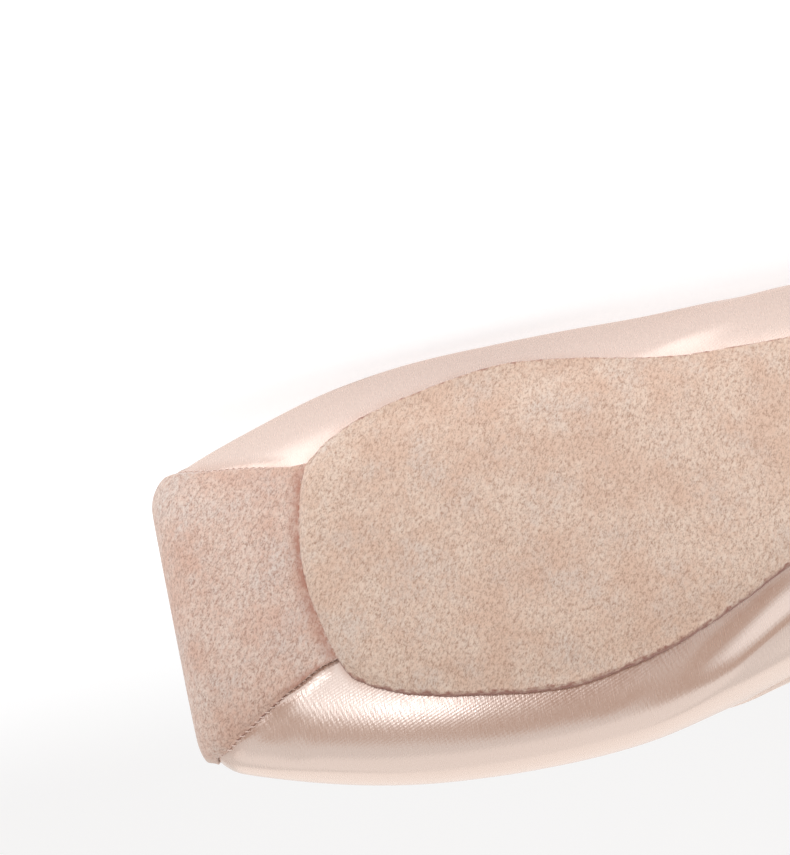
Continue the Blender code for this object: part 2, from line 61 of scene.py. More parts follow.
shoe_up = -np.array(mounts["forefoot_tread"]["axis"], float)
shoe_up /= np.linalg.norm(shoe_up)
shoe_back = -np.array(mounts["platform"]["axis"], float)
shoe_back -= shoe_up * (shoe_back @ shoe_up)
shoe_back /= np.linalg.norm(shoe_back)
shoe_side = np.cross(shoe_back, shoe_up)
shoe_turn = np.stack([shoe_side, shoe_back, shoe_up])
shoe_origin = np.array(mounts["platform"]["pos_m"], float) - PLATFORM_POINT_HEIGHT * shoe_up


def place(points):
    """Shoe axes to the row frame: the origin, plus each coordinate times its axis."""
    return shoe_origin + np.asarray(points) @ shoe_turn


print("the tread faces", np.round(-shoe_up, 3), "and the toe points", np.round(-shoe_back, 3))

# %% [markdown]
# The camera comes first. It looks at the sole from a little to the
# outer side, and it is rolled so that the shoe's length climbs gently to the right, as in the photograph. A long
# lens keeps the two edges of the sole nearly parallel. Nothing is shifted, so the other views stay centred.

# %% Camera
IMAGE_WIDTH = 790
IMAGE_HEIGHT = 855
SENSOR_WIDTH_MM = 36.0
PIXELS_PER_METRE = 5670.0
CAMERA_DISTANCE = 0.8
CAMERA_TO_OUTER_SIDE = np.radians(19.0)
CAMERA_TO_TOE = np.radians(2.0)
AIM_STATION = 0.060
AIM_PIXEL = (499.7, 531.4)
LENGTH_DIRECTION = np.array([0.978, 0.208])
CLIP_RANGE = (0.05, 60.0)


def unit(vectors):
    """Each vector along the last axis divided by its own length."""
    return vectors / np.maximum(np.linalg.norm(vectors, axis=-1, keepdims=True), 1e-12)


def add_object(name, data):
    """An object that holds the data, linked to the scene."""
    thing = bpy.data.objects.new(name, data)
    bpy.context.scene.collection.objects.link(thing)
    return thing


def add_camera():
    """A camera on the line from the aim point, turned so that the picture's middle, not the aim point, is ahead."""
    flat = np.cos(CAMERA_TO_OUTER_SIDE)
    to_camera = -np.array([np.sin(CAMERA_TO_OUTER_SIDE), np.sin(CAMERA_TO_TOE) * flat, np.cos(CAMERA_TO_TOE) * flat])
    aim = np.array([0.0, AIM_STATION, 0.0])
    eye = aim + CAMERA_DISTANCE * to_camera
    along = unit(np.array([0, 1, 0]) - to_camera * to_camera[1])
    across = np.cross(to_camera, along)
    across *= np.sign(across[0])
    right = LENGTH_DIRECTION[0] * along - LENGTH_DIRECTION[1] * across
    up = LENGTH_DIRECTION[1] * along + LENGTH_DIRECTION[0] * across
    middle = aim + (
        (IMAGE_WIDTH / 2 - AIM_PIXEL[0]) * right - (IMAGE_HEIGHT / 2 - AIM_PIXEL[1]) * up
    ) / PIXELS_PER_METRE
    back = unit(eye - middle)
    right = unit(right - back * (right @ back))
    axes = np.stack([right, np.cross(back, right), back]) @ shoe_turn
    camera = bpy.data.cameras.new("camera")
    camera.sensor_fit = "HORIZONTAL"
    camera.sensor_width = SENSOR_WIDTH_MM
    camera.lens = PIXELS_PER_METRE * CAMERA_DISTANCE / IMAGE_WIDTH * SENSOR_WIDTH_MM
    camera.clip_start, camera.clip_end = CLIP_RANGE
    holder = add_object("camera", camera)
    matrix = Matrix(axes.T.tolist()).to_4x4()
    matrix.translation = Vector(place(eye))
    holder.matrix_world = matrix
    bpy.context.scene.camera = holder
    print("camera at", np.round(place(eye), 3), "lens", round(camera.lens, 1), "mm")


add_camera()

# %% [markdown]
# ## The last
# A shoe gets its form from a last, a solid foot. Ours is a table: one row for each section, with its half width,
# heights and how square it is. Cubic curves through the rows give every section in between, so one short table
# shapes upper, sole, lining and patch, and they fit each other. The numbers are the part's own.

# %% Sizes
LENGTH = 0.235
BALL_WIDTH = 0.078
INSTEP_HEIGHT = 0.050
SOLE_WIDTH = 0.0608
ARCH_RISE = 0.0055
TOE_SPRING = 0.0042
SWING = 0.016
THROAT_START = 0.072
THROAT_LENGTH = 0.034
WALL_LEAN = 0.19
HEEL_BACK_CURVE = 0.010
HEEL_CENTRE = 0.870
PLATFORM_EDGE = 0.0055
PLATFORM_WALL = 0.0070
BOX_WALL = 0.0036
QUARTER_WALL = 0.0020
TURNED_MARGIN = 0.0018
MARGIN_WIDTH = 0.012
MARGIN_START = 0.15 * LENGTH
MARGIN_END = 0.93 * LENGTH
MARGIN_RAMP = 0.010
BINDING_WIDTH = 0.007
BINDING_STEP = 0.0005
SOLE_THICKNESS = 0.0023
SOLE_EDGE_LIFT = 0.0013
SOLE_EDGE_SKIVE = 0.0004
TREAD_FLATNESS = 0.0003
SOLE_OFFSET = 0.0009
INSOLE_THICKNESS = 0.0015
INSOLE_SIDE_GAP = 0.0015
INSOLE_FLOOR_SHARE = 0.86
PATCH_THICKNESS = 0.0009
PATCH_EDGE_THICKNESS = 0.0006
PATCH_TURN_SHARE = 0.5
PATCH_TOP_ANGLE = 1.66
PATCH_BLEND_ANGLE = 0.45
PATCH_CLEARANCE = 0.00045
CLEARANCE = 0.0003
PLATFORM_FACE = PATCH_THICKNESS + PATCH_CLEARANCE

LAST_COLUMNS = (
    "station", "half_width", "spring", "arch", "widest", "top", "low_power", "high_power", "lean", "flank",
    "swing", "topline",
)
LAST = (
    (0.000, 0.655, 1.00, 0.00, 0.170, 0.620, 3.2, 2.15, 1.00, 2.0, 0.00, 1.00),
    (0.040, 0.755, 0.72, 0.00, 0.180, 0.715, 3.2, 2.1, 1.00, 2.0, 0.00, 1.00),
    (0.090, 0.848, 0.42, 0.00, 0.185, 0.830, 3.25, 2.25, 1.00, 2.0, 0.00, 1.00),
    (0.150, 0.940, 0.14, 0.00, 0.190, 0.895, 3.2, 2.2, 1.00, 2.0, 0.00, 1.00),
    (0.210, 0.988, 0.00, 0.00, 0.195, 0.950, 3.15, 2.1, 1.00, 2.0, 0.00, 1.00),
    (0.275, 0.998, 0.00, 0.00, 0.195, 1.000, 3.15, 2.1, 1.00, 2.0, 0.00, 1.00),
    (0.340, 0.980, 0.00, 0.02, 0.200, 1.060, 3.2, 2.1, 1.00, 2.0, 0.04, 0.93),
    (0.400, 0.930, 0.00, 0.20, 0.220, 1.120, 3.3, 2.2, 1.00, 2.0, 0.17, 0.82),
    (0.460, 0.883, 0.00, 0.55, 0.250, 1.220, 3.5, 2.3, 1.00, 1.9, 0.37, 0.77),
    (0.540, 0.830, 0.00, 0.92, 0.290, 1.420, 4.0, 2.4, 0.93, 1.7, 0.56, 0.76),
    (0.640, 0.770, 0.00, 1.00, 0.330, 1.560, 5.0, 2.5, 0.80, 1.4, 0.71, 0.79),
    (0.740, 0.735, 0.00, 0.62, 0.360, 1.660, 6.0, 2.5, 0.66, 1.1, 0.81, 0.86),
    (0.830, 0.727, 0.00, 0.12, 0.380, 1.720, 7.5, 2.5, 0.60, 1.0, 0.89, 0.95),
    (0.900, 0.725, 0.00, 0.00, 0.390, 1.740, 8.0, 2.5, 0.60, 1.0, 0.95, 1.03),
    (1.000, 0.725, 0.00, 0.00, 0.390, 1.760, 8.0, 2.5, 0.60, 1.0, 1.00, 1.10),
)
SOLE_COLUMNS = ("station", "half_width", "swing")
SOLE = (
    (0.1047, 0.000, 0.000),
    (0.1055, 0.120, 0.000),
    (0.1081, 0.265, 0.000),
    (0.1123, 0.425, 0.000),
    (0.1190, 0.590, 0.000),
    (0.1340, 0.720, 0.000),
    (0.1520, 0.800, 0.000),
    (0.1860, 0.888, 0.000),
    (0.2200, 0.940, 0.000),
    (0.2540, 0.983, 0.000),
    (0.2880, 1.000, 0.000),
    (0.3220, 0.966, 0.004),
    (0.3560, 0.914, 0.016),
    (0.3900, 0.839, 0.058),
    (0.4240, 0.763, 0.140),
    (0.4580, 0.694, 0.270),
    (0.4920, 0.632, 0.390),
    (0.5600, 0.562, 0.570),
    (0.6500, 0.550, 0.720),
    (0.7400, 0.625, 0.810),
    (0.8200, 0.775, 0.880),
    (0.8800, 0.860, 0.930),
    (0.9150, 0.842, 0.965),
    (0.9430, 0.720, 0.980),
    (0.9600, 0.500, 0.985),
    (0.9680, 0.300, 0.990),
    (0.9710, 0.000, 0.995),
)
PATCH_COLUMNS = ("station", "outer_side", "inner_side")
PATCH = (
    (0.0128, 0.680, 0.725),
    (0.0180, 0.672, 0.710),
    (0.0236, 0.658, 0.695),
    (0.0330, 0.630, 0.672),
    (0.0430, 0.600, 0.648),
    (0.0590, 0.547, 0.624),
    (0.0730, 0.500, 0.607),
    (0.0880, 0.458, 0.583),
    (0.1030, 0.414, 0.559),
    (0.1180, 0.395, 0.534),
)
print("a last of", len(LAST), "sections, a sole of", len(SOLE), "stations")

# %% [markdown]
# A last is read through its sections. Each section of a foot is roundish above and flat below, so it is drawn as two
# superellipses that meet at the widest line: one number makes them round or square. The lines that run along the
# shoe, such as tread, crown and widest line, come from the table, and every later piece asks for them by name.

# %% Sections of the last
def column(table, names, name):
    """One column of a table, as an array."""
    return np.array([row[names.index(name)] for row in table])


def flow(table, names, name, y):
    """The smooth curve through a table's rows: cubics whose slopes are those of the rows on either side."""
    stations = column(table, names, "station")
    values = column(table, names, name)
    slopes = np.gradient(values, stations)
    share = np.clip(np.asarray(y, float) / LENGTH, stations[0], stations[-1])
    i = np.clip(np.searchsorted(stations, share, side="right") - 1, 0, len(stations) - 2)
    step = stations[i + 1] - stations[i]
    t = (share - stations[i]) / step
    start = (2 * t**3 - 3 * t**2 + 1) * values[i] + (t**3 - 2 * t**2 + t) * step * slopes[i]
    end = (3 * t**2 - 2 * t**3) * values[i + 1] + (t**3 - t**2) * step * slopes[i + 1]
    return start + end


def last(name, y):
    """A column of the last's table at the places y."""
    return flow(LAST, LAST_COLUMNS, name, y)


def tread(y):
    """Height of the outsole's underside: toe spring in front, arch behind."""
    return np.maximum(last("spring", y), 0) * TOE_SPRING + np.maximum(last("arch", y), 0) * ARCH_RISE


def seat(y):
    """Height of the upper's underside, which lies on the outsole."""
    return tread(y) + SOLE_THICKNESS + CLEARANCE


def half_width(y):
    """Half of the ball's width times the table's share."""
    return last("half_width", y) * BALL_WIDTH / 2


def widest(y):
    """Height of the widest line: the seat plus a share of the instep's height."""
    return seat(y) + last("widest", y) * INSTEP_HEIGHT


def crown(y):
    """Height of the section's top: the tread plus a share of the instep's height."""
    return tread(y) + last("top", y) * INSTEP_HEIGHT


def lean_in(y, z):
    """Factor by which the side wall draws in towards its foot, below the widest line."""
    depth = widest(y) - seat(y)
    t = np.clip((widest(y) - z) / depth, 0, 1)
    return 1 - last("lean", y) * WALL_LEAN * depth * t ** last("flank", y) / half_width(y)


def section(y, phi, inset=0.0, floor_inset=0.0, plan=1.0):
    """Half a section: phi runs from 0 under the foot to pi on top, and each quarter is part of a superellipse."""
    wide = widest(y)
    low = seat(y) + floor_inset
    high = crown(y) - inset
    below = phi <= np.pi / 2
    power = np.where(below, last("low_power", y), last("high_power", y))
    rise = np.abs(np.cos(phi)) ** (2 / power)
    z = np.where(below, wide - (wide - low) * rise, wide + (high - wide) * rise)
    x = (half_width(y) - inset) * plan * np.abs(np.sin(phi)) ** (2 / power) * lean_in(y, z)
    return x, z


def swing(y):
    """How far the shoe's middle line has bent to the side: the table's share of the full swing."""
    return np.maximum(last("swing", y), 0) * SWING


print("at the ball the last is", round(2000 * float(half_width(0.275 * LENGTH)), 1), "mm wide")

# %% [markdown]
# The upper has a thickness, and its shape gives way at both ends: the wall is thickest at the platform, and the heel
# is rounded from above too. These functions change the plain sections accordingly.

# %% Walls and ends
BOX_END = 0.25
BOX_FADE = 0.20
TOE_FADE_WALLS = 5
HEEL_CURVE_FROM = 0.72
HEEL_CURVE_HEIGHT = 1.1
HEEL_BULGE = 0.40
UNDERSIDE_PASSES = 6


def smooth(t):
    """A soft step from 0 to 1."""
    t = np.clip(t, 0, 1)
    return t * t * (3 - 2 * t)


def wall(y):
    """Thickness of the upper: the stiff box at the toe thins into the cloth of the quarters."""
    blend = smooth((y - BOX_END * LENGTH) / (BOX_FADE * LENGTH))
    return BOX_WALL + (QUARTER_WALL - BOX_WALL) * blend


def toe_fade(y):
    """1 at the platform, falling with a square to 0 a few wall thicknesses behind it."""
    return np.clip(1 - (y - PLATFORM_FACE) / (TOE_FADE_WALLS * PLATFORM_WALL), 0, 1) ** 2


def heel_curve(points):
    """Draws the back of the heel in, by the square of the height above or below its bulge."""
    y = points[..., 1]
    near_heel = np.clip((y / LENGTH - HEEL_CURVE_FROM) / (1 - HEEL_CURVE_FROM), 0, 1) ** 2
    height = np.clip(points[..., 2] / (HEEL_CURVE_HEIGHT * INSTEP_HEIGHT), 0, 1.2)
    points[..., 1] = y - near_heel * HEEL_BACK_CURVE * ((height - HEEL_BULGE) / (1 - HEEL_BULGE)) ** 2
    return points


def underside(x, y, inset=0.0, floor_inset=0.0):
    """Height of the upper's underside, or of the floor inside it, at a distance x from its middle line. The section
    leans with its own height, so the height is put in again a few times."""
    n = last("low_power", y)
    low = seat(y) + floor_inset
    z = low + 0 * x
    for _ in range(UNDERSIDE_PASSES):
        share = np.clip(np.abs(x) / ((half_width(y) - inset) * lean_in(y, z)), 0, 0.999)
        z = widest(y) - (widest(y) - low) * (1 - share**n) ** (1 / n)
    return z


def platform_middle():
    """Height of the platform's middle, between the two ends of its section."""
    return section(np.full(2, PLATFORM_FACE), np.array([0.0, np.pi]))[1].mean()


def to_side(points, side):
    """Half a piece put on one side of the shoe's middle line."""
    return points * np.array([side, 1, 1])


def to_bent_side(points, side):
    """The same for a piece that follows the bend of the foot behind the ball."""
    return to_side(points, side) + swing(points[..., 1:2]) * np.array([1, 0, 0])


print("from box to heel the wall thins from", *(round(1000 * float(wall(y)), 1) for y in (0.0, LENGTH)), "mm")

# %% [markdown]
# Four lines are read from the tables: the sides of the patch, the outline of the sole, the end of the margin that
# is turned under the foot, and the rim at throat and topline. The last two are angles round the section.

# %% Edges of patch, sole, margin and rim
FRONT_STATIONS = 8


def patch_half_width(side, y):
    """Half of the ball's width times the patch table's share for that side of the foot."""
    return flow(PATCH, PATCH_COLUMNS, "inner_side" if side > 0 else "outer_side", y) * BALL_WIDTH / 2


def sole_half_width(y):
    """Half of the sole's width times its table's share."""
    return np.maximum(flow(SOLE, SOLE_COLUMNS, "half_width", y), 0) * SOLE_WIDTH / 2


def sole_swing(y):
    """The same for the sole's middle line, which also lies a little to one side of the shoe's."""
    return flow(SOLE, SOLE_COLUMNS, "swing", y) * SWING + SOLE_OFFSET


def sole_front(x):
    """Where the sole's rounded front edge crosses the distance x from its middle line."""
    tip = column(SOLE, SOLE_COLUMNS, "station")[:FRONT_STATIONS] * LENGTH
    tip_half = column(SOLE, SOLE_COLUMNS, "half_width")[:FRONT_STATIONS] * SOLE_WIDTH / 2
    return np.interp(np.abs(x), tip_half, tip)


def bottom_angle(y):
    """Where the turned-under margin ends, as an angle of the section."""
    opening = np.maximum(sole_half_width(y) - MARGIN_WIDTH, 0)
    opening = opening * smooth((y - MARGIN_START) / MARGIN_RAMP) * smooth((MARGIN_END - y) / MARGIN_RAMP)
    share = np.clip(opening / (half_width(y) * lean_in(y, seat(y))), 0, 1)
    return np.arcsin(share ** (last("low_power", y) / 2))


def rim_angle(y):
    """Where the wall ends at the throat and the topline: pi where the vamp is closed."""
    height = np.clip((last("topline", y) * INSTEP_HEIGHT - widest(y)) / (crown(y) - widest(y)), 0, 1)
    n = last("high_power", y)
    reach = np.clip((y - THROAT_START) / THROAT_LENGTH, 0, 1)
    opening = (1 - height**n) ** (1 / n) * np.sqrt(1 - (1 - reach) ** 2)
    angle = np.pi - np.arcsin(np.clip(opening, 0, 1) ** (n / 2))
    return np.where(y > THROAT_START, angle, np.pi)


print("the sole is", round(2000 * float(sole_half_width(0.288 * LENGTH)), 1), "mm wide at the ball")

# %% [markdown]
# ## From grids to meshes
# Every new piece below is made of grids of points. This helper joins grids into one closed mesh, keeps a flat map
# of the cloth in metres for the weave, and stores named values, such as the distance from an edge, for the
# materials to read.


# %% Mesh helper
WELD = 2e-6


class Grid:
    """A rectangle of points with, for each point, its place on the flat cloth and any named values."""

    def __init__(self, points, cloth=None, flip=False, **values):
        self.points = points
        self.cloth = points[..., :2] if cloth is None else cloth
        self.flip = flip
        self.values = values


def grid_faces(first, rows, columns, flip):
    """The four corners of each cell, counted row by row from the first point."""
    i, j = np.meshgrid(np.arange(rows - 1), np.arange(columns - 1), indexing="ij")
    corner = first + i * columns + j
    quads = np.stack([corner, corner + columns, corner + columns + 1, corner + 1], -1).reshape(-1, 4)
    return quads[:, ::-1] if flip else quads


def half_round(middle, arm, outward, steps):
    """Half an ellipse at each point of a line, from middle plus arm over middle plus outward to middle minus arm."""
    around = np.linspace(0, np.pi, steps)[:, None]
    return middle[:, None] + arm[:, None] * np.cos(around) + outward[:, None] * np.sin(around)


def make_piece(name, grids, material):
    """One smooth object from grids of points in the shoe's axes."""
    points, cloth, quads, values, first = [], [], [], {}, 0
    names = sorted({key for grid in grids for key in grid.values})
    for grid in grids:
        rows, columns = grid.points.shape[:2]
        points.append(grid.points.reshape(-1, 3))
        cloth.append(grid.cloth.reshape(-1, 2))
        quads.append(grid_faces(first, rows, columns, grid.flip))
        for key in names:
            value = grid.values.get(key, 0.0) + np.zeros((rows, columns))
            values.setdefault(key, []).append(value.reshape(-1))
        first += rows * columns
    points = np.concatenate(points)
    quads = np.concatenate(quads)
    mesh = bpy.data.meshes.new(name)
    mesh.from_pydata(place(points), [], quads.tolist())
    flat = np.concatenate(cloth)[quads.reshape(-1)]
    mesh.uv_layers.new(name="cloth").data.foreach_set("uv", flat.astype(np.float32).ravel())
    for key in names:
        attribute = mesh.attributes.new(key, "FLOAT", "POINT")
        attribute.data.foreach_set("value", np.concatenate(values[key]).astype(np.float32))
    bm = bmesh.new()
    bm.from_mesh(mesh)
    bmesh.ops.remove_doubles(bm, verts=bm.verts, dist=WELD)
    bmesh.ops.dissolve_degenerate(bm, edges=bm.edges, dist=WELD)
    bmesh.ops.recalc_face_normals(bm, faces=bm.faces)
    bm.to_mesh(mesh)
    bm.free()
    mesh.shade_smooth()
    mesh.materials.append(material)
    print(name, "has", len(mesh.polygons), "faces")
    return add_object(name, mesh)


def finish_piece(piece, slot, *nodes):
    """The piece rides on the shoe's one body and stands in for the nodes named. The slot is not used."""
    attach(piece, "root")
    if nodes:
        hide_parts(*nodes)


# %% [markdown]
# ## Materials
# A material is a tree of nodes. A few helpers keep the trees short: each makes one node, feeds it with links or
# plain numbers, and returns its output.

# %% Node helpers
def add_node(tree, kind, inputs=None, **settings):
    """A node with its settings. Each input is linked where its value is a socket, and typed in where it is not."""
    node = tree.nodes.new("ShaderNode" + kind)
    for key, value in settings.items():
        setattr(node, key, value)
    for label, value in (inputs or {}).items():
        if isinstance(value, bpy.types.NodeSocket):
            tree.links.new(value, node.inputs[label])
        else:
            node.inputs[label].default_value = value
    return node


def number(tree, operation, a, b=0.0, c=0.0):
    """A Math node over links or plain numbers."""
    return add_node(tree, "Math", {0: a, 1: b, 2: c}, operation=operation).outputs[0]


def blend_colour(tree, factor, a, b):
    """Colour a where the factor is 0, b where it is 1, and a mix between."""
    return add_node(tree, "Mix", {"Factor": factor, "A": a, "B": b}, data_type="RGBA").outputs["Result"]


def noise(tree, vector, scale, detail=2.0, roughness=0.5):
    """Cloudy noise from 0 to 1, with about scale clouds to the metre."""
    inputs = {"Vector": vector, "Scale": scale, "Detail": detail, "Roughness": roughness}
    return add_node(tree, "TexNoise", inputs).outputs["Fac"]


def stretch(tree, value, low, high, new_low=0.0, new_high=1.0):
    """A soft step: new_low below low, new_high above high."""
    inputs = {"Value": value, "From Min": low, "From Max": high, "To Min": new_low, "To Max": new_high}
    return add_node(tree, "MapRange", inputs, interpolation_type="SMOOTHSTEP").outputs["Result"]


def object_place(tree):
    """Each point's place in metres on the object."""
    return add_node(tree, "TexCoord").outputs["Object"]


def cloth_place(tree):
    """Each point's place in metres on the flat cloth."""
    return add_node(tree, "UVMap", uv_map="cloth").outputs["UV"]


def split_place(tree, place_socket):
    """The x and y of a place."""
    return add_node(tree, "SeparateXYZ", {"Vector": place_socket}).outputs[:2]


print("node helpers ready")

# %% [markdown]
# Three effects are shared. Suede is brushed leather: its nap is a fine, matt, clumpy pile whose tufts catch light at
# random, so it gets noise at two sizes for colour and for bump. Woven cloth is a grid of threads, read from the flat
# map of the cloth so that the threads follow the surface. The third effect darkens and reddens the suede's edges.
# Part of this is the open fibre's own darker tone, and part is painted shade along the edges and where the outsole
# laps on the patch.
# Each is a node group with its own inputs.

# %% Shared effects
def new_group(name, inputs, outputs):
    """An empty node group with float or colour inputs, and the nodes that stand for its two ends."""
    group = bpy.data.node_groups.new(name, "ShaderNodeTree")
    for label, kind, default in inputs:
        socket = group.interface.new_socket(label, in_out="INPUT", socket_type=kind)
        socket.default_value = default
    for label, kind in outputs:
        group.interface.new_socket(label, in_out="OUTPUT", socket_type=kind)
    return group, group.nodes.new("NodeGroupInput"), group.nodes.new("NodeGroupOutput")


COLOUR = "NodeSocketColor"
FLOAT = "NodeSocketFloat"
NAP_TURN = (np.radians(30), 0.0, 0.0)
NAP_STRETCH = (1.0, 1.0, 1.7)
CLUMP_SCALE, TUFT_SCALE, FLECK_SCALE = 2000.0, 4600.0, 1300.0
RED_CLOUD_SCALE, GREY_CLOUD_SCALE = 90.0, 130.0


def nap_group():
    """Brushed pile: tufts of noise, drawn out along one slanting direction, with dark specks where they part, over
    clouds of a redder and a greyer tone. Out come a colour and a height."""
    group, entry, end = new_group(
        "suede_nap",
        [
            ("Dark", COLOUR, (0.4, 0.3, 0.2, 1)), ("Light", COLOUR, (0.7, 0.6, 0.5, 1)),
            ("Red", COLOUR, (0.6, 0.4, 0.3, 1)), ("Grey", COLOUR, (0.6, 0.5, 0.45, 1)),
        ],
        [("Colour", COLOUR), ("Height", FLOAT)],
    )
    where = object_place(group)
    brushed = {"Vector": where, "Rotation": NAP_TURN, "Scale": NAP_STRETCH}
    lie = add_node(group, "Mapping", brushed, vector_type="TEXTURE").outputs["Vector"]
    clump = noise(group, lie, CLUMP_SCALE, 1.0, 0.6)
    tuft = noise(group, lie, TUFT_SCALE, 1.0, 0.5)
    mix = number(group, "ADD", number(group, "MULTIPLY", clump, 0.5), number(group, "MULTIPLY", tuft, 0.5))
    specks = stretch(group, mix, 0.25, 0.62)
    redness = stretch(group, noise(group, where, RED_CLOUD_SCALE, 4.0, 0.65), 0.40, 0.66, 0.0, 0.75)
    greyness = stretch(group, noise(group, where, GREY_CLOUD_SCALE, 4.0, 0.65), 0.46, 0.70, 0.0, 0.75)
    flecks = stretch(group, noise(group, lie, FLECK_SCALE, 2.0, 0.7), 0.40, 0.66, 0.0, 0.5)
    pale = blend_colour(group, redness, entry.outputs["Light"], entry.outputs["Red"])
    pale = blend_colour(group, greyness, pale, entry.outputs["Grey"])
    pale = blend_colour(group, flecks, pale, entry.outputs["Red"])
    colour = blend_colour(group, specks, entry.outputs["Dark"], pale)
    group.links.new(colour, end.inputs["Colour"])
    group.links.new(mix, end.inputs["Height"])
    return group


def weave_group():
    """Threads on the cloth's flat map: two sets of fine ribs, turned by an angle, whose heights add up."""
    group, entry, end = new_group(
        "woven_ribs",
        [("Across", FLOAT, 2500.0), ("Along", FLOAT, 2500.0), ("Turn", FLOAT, 0.0)],
        [("Height", FLOAT)],
    )
    turn = {"Vector": cloth_place(group), "Angle": entry.outputs["Turn"]}
    turned = add_node(group, "VectorRotate", turn, rotation_type="Z_AXIS")
    x, y = split_place(group, turned.outputs["Vector"])
    across = number(group, "SINE", number(group, "MULTIPLY", x, entry.outputs["Across"]))
    along = number(group, "SINE", number(group, "MULTIPLY", y, entry.outputs["Along"]))
    group.links.new(number(group, "ADD", across, along), end.inputs["Height"])
    return group


FRAY_SCALE = 900.0
FRAY_DEPTH = 0.9
LAP_SCALE = 700.0


def fray_group():
    """A cut or lapped edge: where the edge value plus noise is high, the cut's colour shows. That colour is partly
    the cut's own tone and partly painted shade. The lap's painted shade colour comes in patches by the lap value."""
    group, entry, end = new_group(
        "edge_fray_and_shade",
        [
            ("Colour", COLOUR, (0.7, 0.6, 0.5, 1)), ("Edge", FLOAT, 0.0), ("Lap", FLOAT, 0.0),
            ("Cut Colour", COLOUR, (0.3, 0.1, 0.1, 1)), ("Lap Colour", COLOUR, (0.4, 0.2, 0.1, 1)),
        ],
        [("Colour", COLOUR)],
    )
    where = object_place(group)
    uneven = number(group, "SUBTRACT", noise(group, where, FRAY_SCALE, 3.0), 0.5)
    frayed = number(group, "ADD", entry.outputs["Edge"], number(group, "MULTIPLY", uneven, FRAY_DEPTH))
    patches = stretch(group, noise(group, where, LAP_SCALE, 3.0), 0.3, 0.7, 0.45, 1.0)
    lapped = number(group, "MULTIPLY", entry.outputs["Lap"], patches)
    colour = blend_colour(group, lapped, entry.outputs["Colour"], entry.outputs["Lap Colour"])
    colour = blend_colour(group, stretch(group, frayed, 0.40, 0.80), colour, entry.outputs["Cut Colour"])
    group.links.new(colour, end.inputs["Colour"])
    return group


suede_nap, woven_ribs, edge_fray_and_shade = nap_group(), weave_group(), fray_group()
print("shared effects:", suede_nap.name, woven_ribs.name, edge_fray_and_shade.name)

# %% [markdown]
# Each material is one Principled shader. What is the same all over is typed on the shader's own sockets, and only
# what varies is wired in. Relief that is too fine for the mesh, such as thread and nap, is bump.


# %% Material helper
def new_material(name, colour, roughness, **constants):
    """A material with one Principled shader. Constants are set on the shader's own sockets."""
    material = bpy.data.materials.new(name)
    material.use_nodes = True
    shader = material.node_tree.nodes["Principled BSDF"]
    shader.inputs["Base Color"].default_value = (*colour, 1.0)
    shader.inputs["Roughness"].default_value = roughness
    for label, value in constants.items():
        shader.inputs[label.replace("_", " ")].default_value = value
    return material, material.node_tree, shader


def set_bump(tree, shader, height, distance, strength):
    """Relief for the shader: the height value is worth the distance in metres."""
    bump = add_node(tree, "Bump", {"Height": height, "Distance": distance, "Strength": strength})
    tree.links.new(bump.outputs["Normal"], shader.inputs["Normal"])


def attribute(tree, name):
    """A value that the mesh carries at each point."""
    return add_node(tree, "Attribute", attribute_name=name).outputs["Fac"]


def use_group(tree, group, **inputs):
    """A node that runs a shared effect. An underscore in an input's name stands for a space."""
    return add_node(tree, "Group", {key.replace("_", " "): value for key, value in inputs.items()}, node_tree=group)


print("material helpers ready")

# %% [markdown]
# Satin has long floating threads, so it is glossy and shows a broad soft highlight. Part of its reflection is set as
# metallic, because bright thread mirrors light in its own colour, and the rest is a white gloss. Two kinds of relief
# break the highlight up: slanting twill lines half a millimetre apart, crossed by fainter ones, and single threads,
# drawn as noise that is stretched along them. Beside a seam the cloth is painted darker and warmer. This is a
# painted shade where the edges of sole and patch overhang it.

# %% Satin
SATIN_PINK = (0.775, 0.635, 0.567)
SATIN_SEAM_SHADE = (0.600, 0.400, 0.320)
SATIN_EDGE_TINT = (0.90, 0.76, 0.67, 1)
TWILL_PITCH = 0.00054
CROSS_PITCH = 0.00085
TWILL_TURN = np.radians(20)
THREAD_WIDTH = 0.00026
THREAD_LENGTH = 0.0018
TWILL_SHARE = 0.13
THREAD_RELIEF = 0.000027
THREAD_ROUGHNESS = (0.18, 0.29)
WARM_PATCH_SCALE = 300.0
RELIEF_STRENGTH = 0.8


def satin_material():
    """Pink thread, part metallic, under a clear gloss: a painted shade by nearness to a seam, relief by twill and
    threads.
    """
    material, tree, shader = new_material(
        "satin", SATIN_PINK, 0.24, Metallic=0.57, Specular_IOR_Level=0.5, Specular_Tint=SATIN_EDGE_TINT,
        Coat_Weight=0.44, Coat_Roughness=0.26, Coat_IOR=1.8,
    )
    # Painted shade: within a few millimetres of the seams under sole and patch, the pink is darkened towards warm
    # brown.
    seam_shade_mask = stretch(tree, attribute(tree, "near_seam"), 0.0, 1.0)
    patchy = stretch(tree, noise(tree, object_place(tree), WARM_PATCH_SCALE, 3.0), 0.3, 0.7, 0.15, 0.55)
    colour = blend_colour(tree, number(tree, "MULTIPLY", seam_shade_mask, patchy), (*SATIN_PINK, 1), (*SATIN_SEAM_SHADE, 1))
    tree.links.new(colour, shader.inputs["Base Color"])
    drawn = {"Vector": cloth_place(tree), "Scale": (1 / THREAD_LENGTH, 1 / THREAD_WIDTH, 1)}
    threads = noise(tree, add_node(tree, "Mapping", drawn).outputs["Vector"], 1.0, 1.0)
    twill = use_group(
        tree, woven_ribs, Across=2 * np.pi / TWILL_PITCH, Along=2 * np.pi / CROSS_PITCH, Turn=TWILL_TURN,
    )
    height = number(tree, "MULTIPLY_ADD", twill.outputs["Height"], TWILL_SHARE, threads)
    set_bump(tree, shader, height, THREAD_RELIEF, RELIEF_STRENGTH)
    tree.links.new(stretch(tree, threads, 0.25, 0.75, *THREAD_ROUGHNESS), shader.inputs["Roughness"])
    return material


satin = satin_material()
print("satin of", SATIN_PINK)
